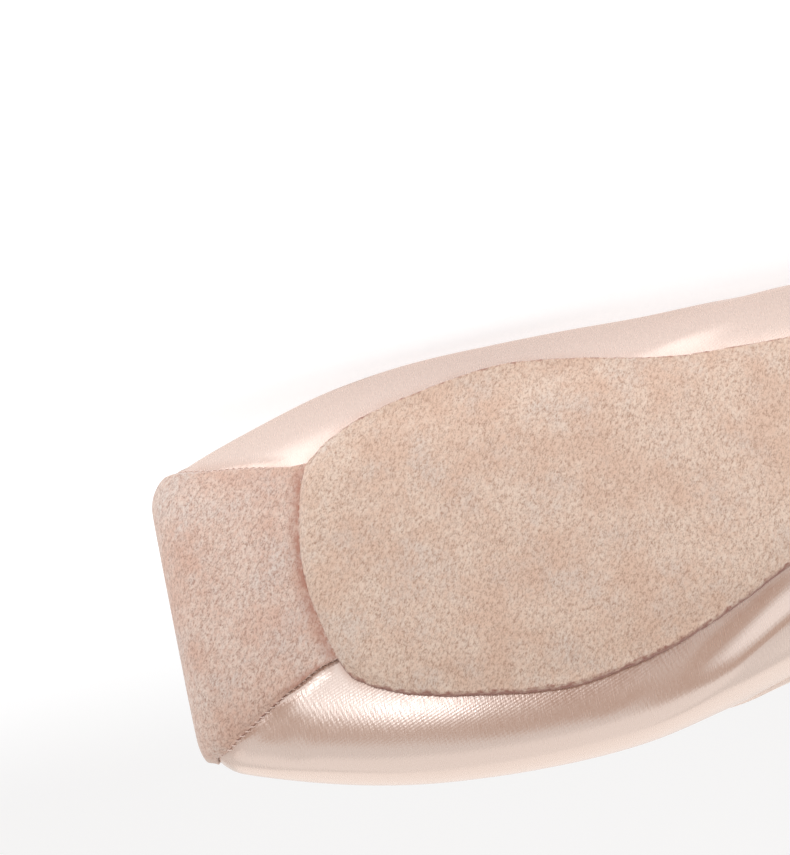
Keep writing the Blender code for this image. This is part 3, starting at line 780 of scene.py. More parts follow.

# %% [markdown]
# The suede of sole and patch differs a little: the sole is a warm beige, the patch is pinker and greyer. Their cut
# edges are darker, reddish and rough. Part of this is the open fibre's own darker tone, and part is painted shade
# along the edges and where the outsole laps on the patch.

# %% Suede
# The cut edges' brown is partly their own tone and partly painted shade. The lap red is a painted shade where the
# outsole laps on the patch.
CUT_EDGE_AND_SHADE_BROWN = (0.31, 0.13, 0.10, 1)
LAP_SHADE_RED = (0.41, 0.185, 0.13, 1)
NAP_STRENGTH = 0.9


def suede_material(name, relief, **tones):
    """Matt pile with a soft sheen: the shared nap in its own tones, then the shared fray and painted edge shade on
    its edges.
    """
    material, tree, shader = new_material(
        name, tones["Light"], 0.95, Specular_IOR_Level=0.15, Sheen_Weight=0.30, Sheen_Roughness=0.6,
    )
    nap = use_group(tree, suede_nap, **{label: (*tone, 1) for label, tone in tones.items()})
    fray = use_group(
        tree, edge_fray_and_shade, Colour=nap.outputs["Colour"], Edge=attribute(tree, "cut_edge"),
        Lap=attribute(tree, "lap_shade"), Cut_Colour=CUT_EDGE_AND_SHADE_BROWN, Lap_Colour=LAP_SHADE_RED,
    )
    tree.links.new(fray.outputs["Colour"], shader.inputs["Base Color"])
    set_bump(tree, shader, nap.outputs["Height"], relief, NAP_STRENGTH)
    return material


sole_suede = suede_material(
    "outsole_suede", relief=0.00021,
    Dark=(0.420, 0.270, 0.200), Light=(0.750, 0.610, 0.510), Red=(0.675, 0.470, 0.360), Grey=(0.675, 0.580, 0.515),
)
patch_suede = suede_material(
    "patch_suede", relief=0.00023,
    Dark=(0.400, 0.245, 0.190), Light=(0.750, 0.610, 0.530), Red=(0.670, 0.435, 0.340), Grey=(0.685, 0.600, 0.550),
)
print("two suedes")

# %% [markdown]
# The lining is plain cotton, matt and a little uneven in tone. Its weave is coarse enough to see, so it takes the
# shared ribs at the same pitch both ways.

# %% Lining cloth
COTTON = (0.78, 0.66, 0.56)
COTTON_DARK = (0.70, 0.57, 0.47, 1)
COTTON_LIGHT = (0.84, 0.73, 0.63, 1)
COTTON_RIBS = 5200.0
COTTON_RELIEF = 0.00006
COTTON_CLOUD_SCALE = 40.0


def lining_material():
    """Matt cotton: an even weave for relief, and broad clouds of two tones."""
    material, tree, shader = new_material("lining_cloth", COTTON, 0.9, Specular_IOR_Level=0.2)
    weave = use_group(tree, woven_ribs, Across=COTTON_RIBS, Along=COTTON_RIBS, Turn=0.0)
    set_bump(tree, shader, weave.outputs["Height"], COTTON_RELIEF, RELIEF_STRENGTH)
    mottled = stretch(tree, noise(tree, object_place(tree), COTTON_CLOUD_SCALE, 3.0), 0.3, 0.7)
    tree.links.new(blend_colour(tree, mottled, COTTON_DARK, COTTON_LIGHT), shader.inputs["Base Color"])
    return material


lining_cloth = lining_material()
print("lining cloth")

# %% [markdown]
# ## The satin upper
# One sheet of satin covers box, vamp and quarters. Its grid runs along the shoe in rows and round each section in
# columns. The columns are spaced by true length along the section, so the cloth's flat map is true to size. Soft
# troughs and ridges are then pressed into the sheet along its own surface, where the photograph shows them.

# %% Rows and columns of the upper
TOE_ROWS = 16
FLAT_ROWS = 5
BODY_STEP = 0.0008
THROAT_ROWS = 44
HEEL_ROWS = 34
GIRTH_COLUMNS = 120
SAMPLES = 260
SAMPLE_CROWDING = 2.6


def upper_rows():
    """For each row: station of its section, inset, narrowing in plan, place along the shoe, and share of the flat
    face. The rows crowd together where the throat's rounded front opens."""
    flat = np.linspace(0, 1, FLAT_ROWS + 1)[:-1]
    turn, opening, heel_turn = (np.linspace(0, np.pi / 2, rows) for rows in (TOE_ROWS, THROAT_ROWS, HEEL_ROWS))
    toe = PLATFORM_FACE + PLATFORM_EDGE * (1 - np.cos(turn))
    front = np.arange(toe[-1] + BODY_STEP, THROAT_START, BODY_STEP)
    throat = THROAT_START + THROAT_LENGTH * (1 - np.cos(opening))
    back = np.arange(throat[-1] + BODY_STEP, HEEL_CENTRE * LENGTH, BODY_STEP)
    reach = LENGTH - HEEL_CENTRE * LENGTH
    heel = HEEL_CENTRE * LENGTH + reach * np.sin(heel_turn)
    body = np.concatenate([front, throat, back])
    station = np.concatenate([np.full(len(flat), PLATFORM_FACE), toe, body, heel])
    inset = np.concatenate([
        np.full(len(flat), PLATFORM_EDGE), PLATFORM_EDGE * (1 - np.sin(turn)), 0 * body, 0 * heel,
    ])
    plan = np.concatenate([np.ones(len(station) - len(heel)), np.cos(heel_turn)])
    sine = np.concatenate([np.zeros(len(station) - len(heel)), np.sin(heel_turn)])
    share = np.concatenate([flat, np.ones(len(station) - len(flat))])
    return station, inset, plan, sine, share


def girth_angles(station, inset, plan, columns):
    """Angles that divide each row evenly by length between its lower and upper end, and that length."""
    t = np.linspace(0, 1, SAMPLES) ** SAMPLE_CROWDING
    quarter = np.pi / 2
    samples = np.unique(np.concatenate([quarter * t, quarter * (1 - t), quarter * (1 + t), np.pi - quarter * t]))
    y = station[:, None] + 0 * samples
    x, z = section(y, samples + 0 * y, inset[:, None], inset[:, None], plan[:, None])
    length = np.cumsum(np.hypot(np.diff(x, prepend=x[:, :1]), np.diff(z, prepend=z[:, :1])), axis=1)
    low, high = bottom_angle(station) * plan, rim_angle(station)
    phi, along = np.empty((len(station), columns)), np.empty((len(station), columns))
    for i in range(len(station)):
        ends = np.interp((low[i], high[i]), samples, length[i])
        along[i] = np.linspace(ends[0], ends[1], columns)
        phi[i] = np.interp(along[i], length[i], samples)
    phi[:, 0], phi[:, -1] = low, high
    return phi, along


def skin(rows, phi, depth, raised=0.0):
    """Points of one side of the upper: depth 0 is its outer skin and 1 its inner one."""
    station, inset, plan, sine, share = (np.asarray(v)[:, None] for v in rows)
    thickness = depth * wall(station) - raised
    x, z = section(station, phi, inset + thickness, inset + depth * TURNED_MARGIN, plan)
    middle = platform_middle()
    y = station + depth * PLATFORM_WALL * toe_fade(station) - thickness * sine + 0 * x
    return heel_curve(np.stack([x * share, y, middle + (z - middle) * share], -1))


upper_row_values = upper_rows()
print("the satin has", len(upper_row_values[0]), "rows of", 2 * GIRTH_COLUMNS, "points")

# %% [markdown]
# The folds are written down as a short table. A fold runs from one place to another on the cloth: a place is a
# distance from the toe and a distance round the section from the middle of the sole, in millimetres, and a positive
# depth is a ridge. Its profile across is a bell, and it fades out a little past both ends.

# %% Folds
FOLD_COLUMNS = ("side", "from_toe", "from_middle", "to_toe", "to_middle", "width", "depth")
FOLDS = (
    (-1, 90, 36.5, 114, 27.0, 2.3, 0.62),
    (-1, 88, 33.0, 112, 23.5, 2.3, -0.50),
    (-1, 68, 39.0, 82, 32.0, 2.6, 0.12),
    (-1, 13.5, 21, 17, 31, 3.0, -0.30),
    (1, 93, 27, 125, 30, 2.6, 0.60),
    (1, 90, 33, 118, 36, 2.6, -0.40),
)
FOLD_PAST_END = 0.15
FOLD_FADE = 0.4


def named_rows(names, table):
    """Each row of a table with its columns' names."""
    return [dict(zip(names, row)) for row in table]


def fold_height(side, y, along):
    """Sum of all folds of one side: each is its depth times a bell of the distance from its line, times a soft
    fade at the line's two ends."""
    total = np.zeros_like(y)
    for fold in named_rows(FOLD_COLUMNS, FOLDS):
        if fold["side"] != side:
            continue
        start = np.array([fold["from_toe"], fold["from_middle"]]) / 1000
        line = np.array([fold["to_toe"], fold["to_middle"]]) / 1000 - start
        reach = np.hypot(*line)
        t = ((y - start[0]) * line[0] + (along - start[1]) * line[1]) / reach**2
        off = ((y - start[0]) * line[1] - (along - start[1]) * line[0]) / reach
        fade = smooth((t + FOLD_PAST_END) / FOLD_FADE) * smooth((1 + FOLD_PAST_END - t) / FOLD_FADE)
        total += fold["depth"] / 1000 * np.exp(-((off * 1000 / fold["width"]) ** 2)) * fade
    return total


def grid_normals(points):
    """The outward direction at each point of a grid: the cross product of its two steps."""
    return unit(np.cross(np.gradient(points, axis=0), np.gradient(points, axis=1)))


print(len(FOLDS), "folds")

# %% [markdown]
# The upper is closed from four sheets on each side: its outside with the folds, its inside, a rounded rim round the
# throat and the topline, and the edge of the margin that is turned under the foot. The outside is a little thicker
# in a strip along the rim, which is the binding, and swells beside the patch's sewn edge.

# %% Sheets of the upper
RIM_NEAR = 0.02
RIM_FRONT_SHARE = 1.3
FAR_FROM_RIM = 1.0
PATCH_FROM = 0.012 * LENGTH
SOLE_FROM = 0.112 * LENGTH
SEAM_REACH = 0.0035
NO_SEAM = 0.01
BINDING_SLOPE = 0.0007
RIM_STEPS = 7


def distance_to_rim(points, rim, along):
    """Distance of each point from the rim: along its own section, or straight to the nearest point of the rim's
    front where that is shorter."""
    distance = along[:, -1:] - along
    front_end = THROAT_START + THROAT_LENGTH * RIM_FRONT_SHARE
    near = (points[:, 0, 1] > THROAT_START - RIM_NEAR) & (points[:, 0, 1] < front_end)
    first = rim[rim[:, 1] < front_end]
    block = points[near]
    straight = np.sqrt(((block[:, :, None, :] - first[None, None]) ** 2).sum(-1)).min(-1)
    distance[near] = np.minimum(distance[near], straight)
    ahead = points[:, 0, 1] <= THROAT_START
    distance[ahead & ~near] = FAR_FROM_RIM
    distance[ahead & near] = straight[ahead[near]]
    return distance


def seam_closeness(side, points):
    """1 on the line where satin goes under the sole or the patch, falling to 0 a few millimetres away."""
    x, y = side * points[..., 0], points[..., 1]
    sole_gap = np.abs(x - sole_swing(y) + swing(y)) - sole_half_width(y)
    patch_gap = np.abs(x) - patch_half_width(side, y)
    gap = np.where(y > SOLE_FROM, sole_gap, np.where(y > PATCH_FROM, patch_gap, NO_SEAM))
    low = points[..., 2] < widest(y)
    return np.where(low, 1 - np.clip(gap / SEAM_REACH, 0, 1), 0.0)


RIDGE_HEIGHT = 0.00024
RIDGE_PLACE = 0.0011
RIDGE_WIDTH = 0.0006
RIDGE_FROM = 0.0035
RIDGE_FADE = 0.003
RIDGE_END_FADE = 0.002


def edge_ridge(side, points):
    """Beside the patch's sewn edge the satin swells a little: a bell over the distance from that edge."""
    x, y = np.abs(points[..., 0]), points[..., 1]
    gap = x - patch_half_width(side, y)
    below = smooth((widest(y) - points[..., 2]) / RIDGE_FADE) * smooth((y - RIDGE_FROM) / RIDGE_FADE)
    before_sole = smooth((SOLE_FROM - y) / RIDGE_END_FADE)
    return RIDGE_HEIGHT * np.exp(-(((gap - RIDGE_PLACE) / RIDGE_WIDTH) ** 2)) * below * before_sole


def upper_grids():
    """The four sheets of each side. The rim is half an ellipse between the ends of the two skins."""
    rows = upper_row_values
    station = rows[0]
    phi, along = girth_angles(*rows[:3], GIRTH_COLUMNS)
    inner_phi = phi[:, ::2]
    grids = []
    for side in (1, -1):
        flat_outer = skin(rows, phi, 0.0)
        open_rows = station >= THROAT_START
        distance = distance_to_rim(flat_outer, flat_outer[open_rows, -1], along)
        raised = BINDING_STEP * smooth((BINDING_WIDTH - distance) / BINDING_SLOPE)
        outer = skin(rows, phi, 0.0, raised)
        normal = grid_normals(outer)
        normal *= np.sign((normal * (outer - outer.mean(axis=(0, 1)))).sum(-1, keepdims=True))
        height = fold_height(side, outer[..., 1], along) + edge_ridge(side, outer)
        outer = outer + normal * height[..., None]
        inner = skin(rows, inner_phi, 1.0)
        tip = unit(outer[open_rows, -1] - outer[open_rows, -2])
        middle = (outer[open_rows, -1] + inner[open_rows, -1]) / 2
        arm = outer[open_rows, -1] - middle
        rim = half_round(middle, arm, tip * np.linalg.norm(arm, axis=1, keepdims=True), RIM_STEPS)
        margin = np.stack([outer[:, 0], inner[:, 0]], axis=1)
        margin = margin[bottom_angle(station) * rows[2] > 0]
        cloth = np.stack([side * along, flat_outer[..., 1]], -1)
        # The outside keeps its nearness to the seams, and the satin paints shade there.
        for points, flat, near in (
            (outer, cloth, seam_closeness(side, outer)), (inner, None, 0.0), (rim, None, 0.0), (margin, None, 0.0),
        ):
            grids.append(Grid(to_bent_side(points, side), flat, near_seam=near))
    return grids


satin_upper = make_piece("satin_upper", upper_grids(), satin)
finish_piece(satin_upper, "satin", "upper")

# %% [markdown]
# Outsole and insole are both plates: a top and a bottom face between two surfaces, and a cut edge that bulges a
# little. Near the edge the plate stores how dark the suede is painted there. Part of this is the frayed cut's own
# tone, and part is painted shade, strongest on the edge's side towards the satin.

# %% A plate between two surfaces
WANDER_PITCH = 900
WANDER_FADE = 0.004
WAVES = 14
EDGE_ROUND = 0.0003
EDGE_STEPS = 6
FACE_FRAY = 0.58
FACE_FRAY_REACH = 0.0008
END_FRAY_REACH = 0.0010
EDGE_SHADES = (1.0, 0.48)


def wander(t, seed):
    """A smooth random line: a sum of sine waves of random phase whose height falls with their pitch."""
    dice = np.random.default_rng(seed)
    total = np.zeros_like(t)
    for k in range(1, WAVES + 1):
        total += np.sin(t * k**1.3 + dice.uniform(0, 2 * np.pi)) / k**0.5
    return total / WAVES**0.5


def plate(y, half, shift, top, bottom, columns, wander_by=0.0, seed=1):
    """Grids of a plate between two surfaces: top and bottom faces, and a slightly bulging cut edge on each side."""
    across = np.sin(np.linspace(-np.pi / 2, np.pi / 2, columns))
    y_all = np.repeat(y[:, None], columns, axis=1)
    rough = np.stack([wander(y * WANDER_PITCH, seed + k) for k in (0, 1)]) * wander_by * smooth(half / WANDER_FADE)
    width = np.where(across[None] < 0, (half + rough[0])[:, None], (half + rough[1])[:, None])
    x = width * across
    grids = []
    inner = half[:, None] * across
    # Near the edge the faces take some of the cut edge's brown, which is partly painted shade.
    closeness = 1 - np.clip((half[:, None] - np.abs(inner)) / FACE_FRAY_REACH, 0, 1)
    closeness = np.maximum(closeness, 1 - np.clip((y - y[0])[:, None] / END_FRAY_REACH, 0, 1))
    for surface, down in ((top, False), (bottom, True)):
        points = np.stack([x + shift[:, None], y_all, surface(inner, y_all)], -1)
        grids.append(Grid(points, cut_edge=FACE_FRAY * closeness, flip=down))
    for edge in (0, -1):
        upper_line, lower_line = grids[0].points[:, edge], grids[1].points[:, edge]
        centre, arm = (upper_line + lower_line) / 2, (upper_line - lower_line) / 2
        outward = np.array([1.0 if edge else -1.0, 0, 0]) * np.minimum(EDGE_ROUND, half)[:, None]
        band = half_round(centre, arm, outward, EDGE_STEPS)
        # Painted shade: the edge band is darkest on its side towards the satin and about half as dark at the tread.
        grids.append(Grid(band, cut_edge=np.linspace(*EDGE_SHADES, EDGE_STEPS) + 0 * band[..., 0]))
    for grid in grids:
        grid.points = heel_curve(grid.points)
    return grids


print("a plate's edge has", EDGE_STEPS, "steps")

# %% [markdown]
# ## The suede outsole
# It is one flat piece of suede, cut by hand and glued and stitched under the shoe. Its outline is rounded in front,
# narrow at the arch and rounded again at the heel. The cut is never perfectly clean, so the outline wanders by a
# tenth of a millimetre, and the edge itself is a little rounded.

# %% Outsole
SOLE_ROWS = 420
SOLE_FACE_COLUMNS = 36
EDGE_WANDER = 0.00012
FRONT_ROUND = 0.0011
FRONT_ROUND_REACH = 0.0022
FRONT_ROUND_HALF = 0.0265
FRONT_ROUND_FADE = 0.006


def sole_top(x, y):
    """The sole follows the upper's underside as far as its edge may lift, with a clearance between."""
    return np.minimum(underside(x + sole_swing(y) - swing(y), y), seat(y) + SOLE_EDGE_LIFT) - CLEARANCE


def sole_bottom(x, y):
    """The tread lifts with the edge, is skived a little there, and is rounded off where the sole's front laps on
    the patch: the lift falls away with the square of the distance from the front outline."""
    lift = sole_top(x, y) + CLEARANCE - seat(y)
    edge = np.abs(x) / np.maximum(sole_half_width(y), 1e-6)
    front = np.clip(1 - (y - sole_front(x)) / FRONT_ROUND_REACH, 0, 1) ** 2
    front = front * smooth((FRONT_ROUND_HALF - np.abs(x)) / FRONT_ROUND_FADE)
    return (
        tread(y) + np.maximum(lift - TREAD_FLATNESS, 0) + SOLE_EDGE_SKIVE * np.clip(edge, 0, 1) ** 8
        + FRONT_ROUND * front
    )


def sole_stations():
    """Stations that crowd at both pointed ends, where the outline turns across the shoe."""
    ends = SOLE[0][0] * LENGTH, SOLE[-1][0] * LENGTH
    t = np.linspace(0, np.pi, SOLE_ROWS)
    return ends[0] + (ends[1] - ends[0]) * (1 - np.cos(t)) / 2


def outsole_grids():
    """The plate between the sole's own top and bottom, with a wandering outline."""
    y = sole_stations()
    return plate(y, sole_half_width(y), sole_swing(y), sole_top, sole_bottom, SOLE_FACE_COLUMNS, EDGE_WANDER, 5)


suede_outsole = make_piece("suede_outsole", outsole_grids(), sole_suede)
finish_piece(suede_outsole, "outsole_suede", "outsole")

# %% [markdown]
# ## The insole and the lining
# Inside, a cloth insole lies on the turned-under margin, and cotton lines the walls. They show only from the open
# side, but there they are the first thing one sees. The soft insole spreads a millimetre more to each side than the
# solid that it stands for.

# %% Insole
INSOLE_ROWS = 160
INSOLE_COLUMNS = 30
INSOLE_SPREAD = 0.0011
INSOLE_END_POWER = 12
TOE_INSIDE_STEPS = 40


def insole_grids():
    """A plate on the floor inside. Its ends are rounded by a superellipse, and near the platform, whose inner wall
    has moved back, its places are looked up on the section in front of them."""
    start = 2 * PLATFORM_WALL
    end = LENGTH - QUARTER_WALL - 2 * INSOLE_SIDE_GAP - 0.3 * HEEL_BACK_CURVE
    middle, reach = (start + end) / 2, (end - start) / 2
    y = middle - reach * np.cos(np.linspace(0, np.pi, INSOLE_ROWS))
    ends = np.clip(1 - (np.abs(y - middle) / reach) ** INSOLE_END_POWER, 0, 1) ** 0.5
    near_toe = np.linspace(PLATFORM_FACE, (1 + TOE_FADE_WALLS) * PLATFORM_WALL, TOE_INSIDE_STEPS)
    near_toe_inside = near_toe + PLATFORM_WALL * toe_fade(near_toe)

    def inside(y_all):
        """The outer section that a place inside belongs to."""
        return np.where(y_all < near_toe[-1], np.interp(y_all, near_toe_inside, near_toe), y_all)

    floor = (half_width(inside(y)) - wall(y)) * lean_in(inside(y), seat(inside(y)))
    half = (INSOLE_FLOOR_SHARE * floor - INSOLE_SIDE_GAP + INSOLE_SPREAD) * ends

    def under(x, y_all):
        """The floor inside, with a clearance."""
        return underside(x, inside(y_all), wall(y_all), TURNED_MARGIN) + CLEARANCE

    def over(x, y_all):
        """One thickness above it."""
        return under(x, y_all) + INSOLE_THICKNESS

    return plate(y, half, swing(y), over, under, INSOLE_COLUMNS)


cloth_insole = make_piece("cloth_insole", insole_grids(), lining_cloth)
finish_piece(cloth_insole, "lining_cloth", "insole")

# %% [markdown]
# The lining takes the satin's own rows, a hair inside the wall, so that neither shows through the other. It stops
# below the binding at the throat and the topline.

# %% Lining
LINING_GAP = 0.00012
LINING_THICKNESS = 0.00025
LINING_COLUMNS = 60
BINDING_INSIDE = 0.006


def lining_grids():
    """Two thin skins just inside the upper's inner wall, from the edge of the margin to below the binding."""
    rows = upper_row_values
    phi, along = girth_angles(*rows[:3], LINING_COLUMNS)
    length = np.maximum(along[:, -1:] - along[:, :1], 1e-6)
    reach = smooth((rows[0] - THROAT_START + BINDING_INSIDE) / BINDING_INSIDE)[:, None]
    share = 1 - reach * np.clip(BINDING_INSIDE / length, 0, 0.9)
    angles = phi[:, :1] + (phi - phi[:, :1]) * share
    grids = []
    for side in (1, -1):
        sheets = [skin(rows, angles, 1.0, -LINING_GAP - k * LINING_THICKNESS) for k in (0, 1)]
        edges = [np.stack([sheets[0][:, k], sheets[1][:, k]], axis=1) for k in (0, -1)]
        cloth = np.stack([side * along, rows[0][:, None] + 0 * along], -1)
        for points, flat in zip((*sheets, *edges), (cloth, cloth, None, None)):
            grids.append(Grid(to_bent_side(points, side), flat))
    return grids


cotton_lining = make_piece("cotton_lining", lining_grids(), lining_cloth)
finish_piece(cotton_lining, "lining_cloth")

# %% [markdown]
# ## The toe patch
# The platform on which a dancer stands is covered by a piece of suede, glued on and sewn down round its edge. It
# reaches under the foot as far as the outsole and only just turns over the edge elsewhere. So the first thing it
# needs is the toe's own surface, from the platform's middle round its edge and on.

# %% Toe surface
def toe_skin(reach, phi, depth):
    """Half of the toe's surface: reach runs from 0 at the platform's middle to 1 at its edge and 2 round it."""
    turn = np.clip(reach - 1, 0, 1) * np.pi / 2
    y = PLATFORM_FACE + PLATFORM_EDGE * (1 - np.cos(turn)) + 0 * phi
    inner = PLATFORM_EDGE * (1 - np.sin(turn)) + depth
    x, z = section(y, phi, inner, inner)
    middle = platform_middle()
    flat = np.clip(reach, 0, 1)
    return np.stack([x * flat, y + depth * toe_fade(y), middle + (z - middle) * flat], -1)


def front_skin(reach, phi, depth):
    """The toe's surface carried on behind its rounded edge: reach goes on past 2 at the same pace."""
    toe = toe_skin(np.minimum(reach, 2), phi, depth)
    y = PLATFORM_FACE + PLATFORM_EDGE * (1 + np.maximum(reach - 2, 0) * np.pi / 2)
    x, z = section(y, phi, depth, depth)
    return np.where((reach > 2)[..., None], np.stack([x, y + depth * toe_fade(y), z], -1), toe)


print("the platform's middle lies", round(1000 * platform_middle(), 1), "mm above the tread")

# %% [markdown]
# The patch reaches as far as its table says, or up to the outsole, whichever comes first. Its edge is not cut quite
# straight, is thinner than the rest, and is pressed down where the stitches hold it.

# %% Toe patch
PATCH_ROWS = 70
PATCH_AROUND = (40, 26, 60)
PATCH_FRONT_GAP = -0.00025
PATCH_FARTHEST = 8.0
HALVINGS = 40
PATCH_WANDER = 0.010
PATCH_WAVES = 60
PATCH_SEED = 11
BEHIND_MIDDLE = 0.3
THIN_FROM = 0.45
THIN_FADE = 0.3
SEWN_FROM = 0.42
SEWN_FADE = 0.12
PRESS_REACH = 0.0018
PRESS_GAP = 0.85
PRESS_THICKNESS = 0.35
PATCH_FRAY = 0.45
PATCH_FRAY_REACH = 0.0012
PATCH_EDGE_SHADE = 0.66
PATCH_EDGE_PALER = 0.46
PATCH_CORNER_FROM = 0.95
PATCH_CORNER_FADE = 0.25
PATCH_BULGE = 0.3
PATCH_EDGE_STEPS = 5
LAP_REACH = 0.0028


def patch_end(phi, side):
    """How far the patch reaches, found by halving the interval between on it and off it."""
    near, far = np.full_like(phi, 1 + PATCH_TURN_SHARE), np.full_like(phi, PATCH_FARTHEST)
    for _ in range(HALVINGS):
        reach = (near + far) / 2
        x, y, _ = front_skin(reach, phi, 0.0).T
        beyond = (x > patch_half_width(side, y)) | (y > sole_front(side * x - SOLE_OFFSET) - PATCH_FRONT_GAP)
        near, far = np.where(beyond, near, reach), np.where(beyond, reach, far)
    below = smooth((PATCH_TOP_ANGLE - phi) / PATCH_BLEND_ANGLE)
    return 1 + PATCH_TURN_SHARE + (near - 1 - PATCH_TURN_SHARE) * below


def patch_angles(side):
    """Angles round the patch, with one of them exactly at the corner between its side and the outsole."""
    angles = np.linspace(0, np.pi / 3, 400)
    behind = front_skin(patch_end(angles, side), angles, 0.0)[:, 1]
    turns = (0, angles[np.argmax(behind)], np.pi / 3, np.pi)
    spans = [np.linspace(a, b, n + 1)[1:] for a, b, n in zip(turns, turns[1:], PATCH_AROUND)]
    return np.concatenate([[0.0], *spans])


def patch_grids():
    """Outer face, inner face and bulging edge of each half. Negative shares cover the flat face, and the others run
    from its edge to the patch's. Where the patch is sewn, its edge is pressed down. Where the sole laps on it,
    the colour is darkened by a painted shade."""
    grids = []
    for side in (1, -1):
        phi = patch_angles(side)
        end = patch_end(phi, side) + PATCH_WANDER * wander(phi * PATCH_WAVES, PATCH_SEED + side)
        on_face = [-BEHIND_MIDDLE, -BEHIND_MIDDLE / 2]
        share = np.concatenate([on_face, np.linspace(0, 1, PATCH_ROWS)])[:, None]
        reach = np.where(share < 0, 1 + share / BEHIND_MIDDLE, 1 + (end - 1) * share)
        angle = phi + 0 * reach
        thinning = (PATCH_THICKNESS - PATCH_EDGE_THICKNESS) * smooth((phi - THIN_FROM) / THIN_FADE)
        thickness = PATCH_THICKNESS - thinning * np.clip(share, 0, 1) ** 4
        left = (1 - share) * (end - 1) * PLATFORM_EDGE * np.pi / 2
        closeness = 1 - np.clip(left / PATCH_FRAY_REACH, 0, 1)
        sewn = smooth((angle - SEWN_FROM) / SEWN_FADE)
        press = sewn * smooth(1 - left / PRESS_REACH)
        gap = PATCH_CLEARANCE * (1 - PRESS_GAP * press)
        outer = front_skin(reach, angle, -gap - thickness * (1 - PRESS_THICKNESS * press))
        inner = front_skin(reach, angle, -gap)
        middle = (outer[-1] + inner[-1]) / 2
        bulge = unit(outer[-1] - outer[-3]) * PATCH_EDGE_THICKNESS * PATCH_BULGE
        edge = half_round(middle, outer[-1] - middle, bulge, PATCH_EDGE_STEPS).swapaxes(0, 1)
        # Painted shade on the patch where the outsole's front laps over it, strongest at the sole's edge.
        lap = (1 - sewn) * (1 - np.clip(left / LAP_REACH, 0, 1))
        corner = smooth((angle[-1] - PATCH_CORNER_FROM) / PATCH_CORNER_FADE)
        edge_shade = sewn[-1] * (PATCH_EDGE_SHADE - PATCH_EDGE_PALER * corner)
        for points, near, shade in (
            (outer, PATCH_FRAY * closeness * sewn, lap), (inner, 0.0, 0.0), (edge, edge_shade, 0.0),
        ):
            grids.append(Grid(to_side(points, side), cut_edge=near, lap_shade=shade))
    return grids


suede_patch = make_piece("suede_patch", patch_grids(), patch_suede)
finish_piece(suede_patch, "patch_suede", "toe_patch")

# %% [markdown]
# The patch is whipped down by hand: a pink thread comes up through the satin, goes over the suede's edge and down
# again, over and over, so the edge is drawn into small scallops. Each stitch is a short bent tube across the edge.

# %% Whip stitches
STITCH_PITCH = 0.0012
STITCH_REACH = 0.00055
STITCH_RADIUS = 0.00011
STITCH_HEIGHT = 0.00042
STITCH_STEPS = 9
STITCH_SIDES = 8
STITCH_BENDS = (-0.15 * np.pi, 1.15 * np.pi)
STITCH_TAPER = 0.35
STITCHED_FROM = 0.02
STITCHED_TO = 1.22
STITCH_SAMPLES = 4000
INWARD_STEP = 0.05
OUTWARD_STEP = 0.0006
SIDE_EDGE_MARGIN = 0.0002


def stitch_tubes(edge, inward, outward_normal):
    """Tubes across an edge: each is half an ellipse from the satin, over the edge, into the suede."""
    around = np.linspace(0, 2 * np.pi, STITCH_SIDES + 1)
    bend = np.linspace(*STITCH_BENDS, STITCH_STEPS)
    path = (
        edge[:, None] - inward[:, None] * (np.cos(bend) * STITCH_REACH)[:, None]
        + outward_normal[:, None] * (np.sin(bend) * STITCH_HEIGHT)[:, None]
    )
    step = unit(np.gradient(path, axis=1))
    side = np.cross(inward, outward_normal)[:, None] + 0 * step
    up = np.cross(step, side)
    taper = np.sin(np.linspace(0.0, np.pi, STITCH_STEPS))[:, None, None] ** STITCH_TAPER * STITCH_RADIUS
    ring = np.cos(around)[:, None] * side[:, :, None] + np.sin(around)[:, None] * up[:, :, None]
    return path[:, :, None] + ring * taper


def stitch_grids():
    """One tube every pitch along the patch's side edges, with its directions taken from the toe's own surface."""
    grids = []
    for side in (1, -1):
        phi = np.linspace(STITCHED_FROM, STITCHED_TO, STITCH_SAMPLES)
        end = patch_end(phi, side)
        line = front_skin(end, phi, -STITCH_RADIUS)
        inside = front_skin(end - INWARD_STEP, phi, -STITCH_RADIUS)
        above = front_skin(end, phi, -OUTWARD_STEP)
        on_side = line[:, 0] > patch_half_width(side, line[:, 1]) - SIDE_EDGE_MARGIN
        line, inside, above = (a[on_side] for a in (line, inside, above))
        length = np.append(0, np.cumsum(np.linalg.norm(np.diff(line, axis=0), axis=1)))
        pick = np.searchsorted(length, np.arange(0.5, length[-1] / STITCH_PITCH) * STITCH_PITCH)
        inward = unit(inside[pick] - line[pick])
        normal = unit(above[pick] - line[pick])
        normal = unit(normal - inward * (normal * inward).sum(-1, keepdims=True))
        grids += [Grid(to_side(tube, side)) for tube in stitch_tubes(line[pick], inward, normal)]
    return grids


THREAD_PINK = (0.82, 0.66, 0.59)
THREAD_DARK = (0.74, 0.54, 0.46, 1)
THREAD_LIGHT = (0.90, 0.77, 0.71, 1)
FIBRE_SCALE = 4000.0
FIBRE_RELIEF = 0.00004


def thread_material():
    """Soft cotton thread: fine noise gives its fibres in two tones and a little relief."""
    material, tree, shader = new_material("pink_thread", THREAD_PINK, 0.55, Sheen_Weight=0.3)
    fibre = noise(tree, object_place(tree), FIBRE_SCALE, 2.0)
    colour = blend_colour(tree, stretch(tree, fibre, 0.3, 0.7), THREAD_DARK, THREAD_LIGHT)
    tree.links.new(colour, shader.inputs["Base Color"])
    set_bump(tree, shader, fibre, FIBRE_RELIEF, RELIEF_STRENGTH)
    return material


whip_stitches = make_piece("whip_stitches", stitch_grids(), thread_material())
finish_piece(whip_stitches, "satin")

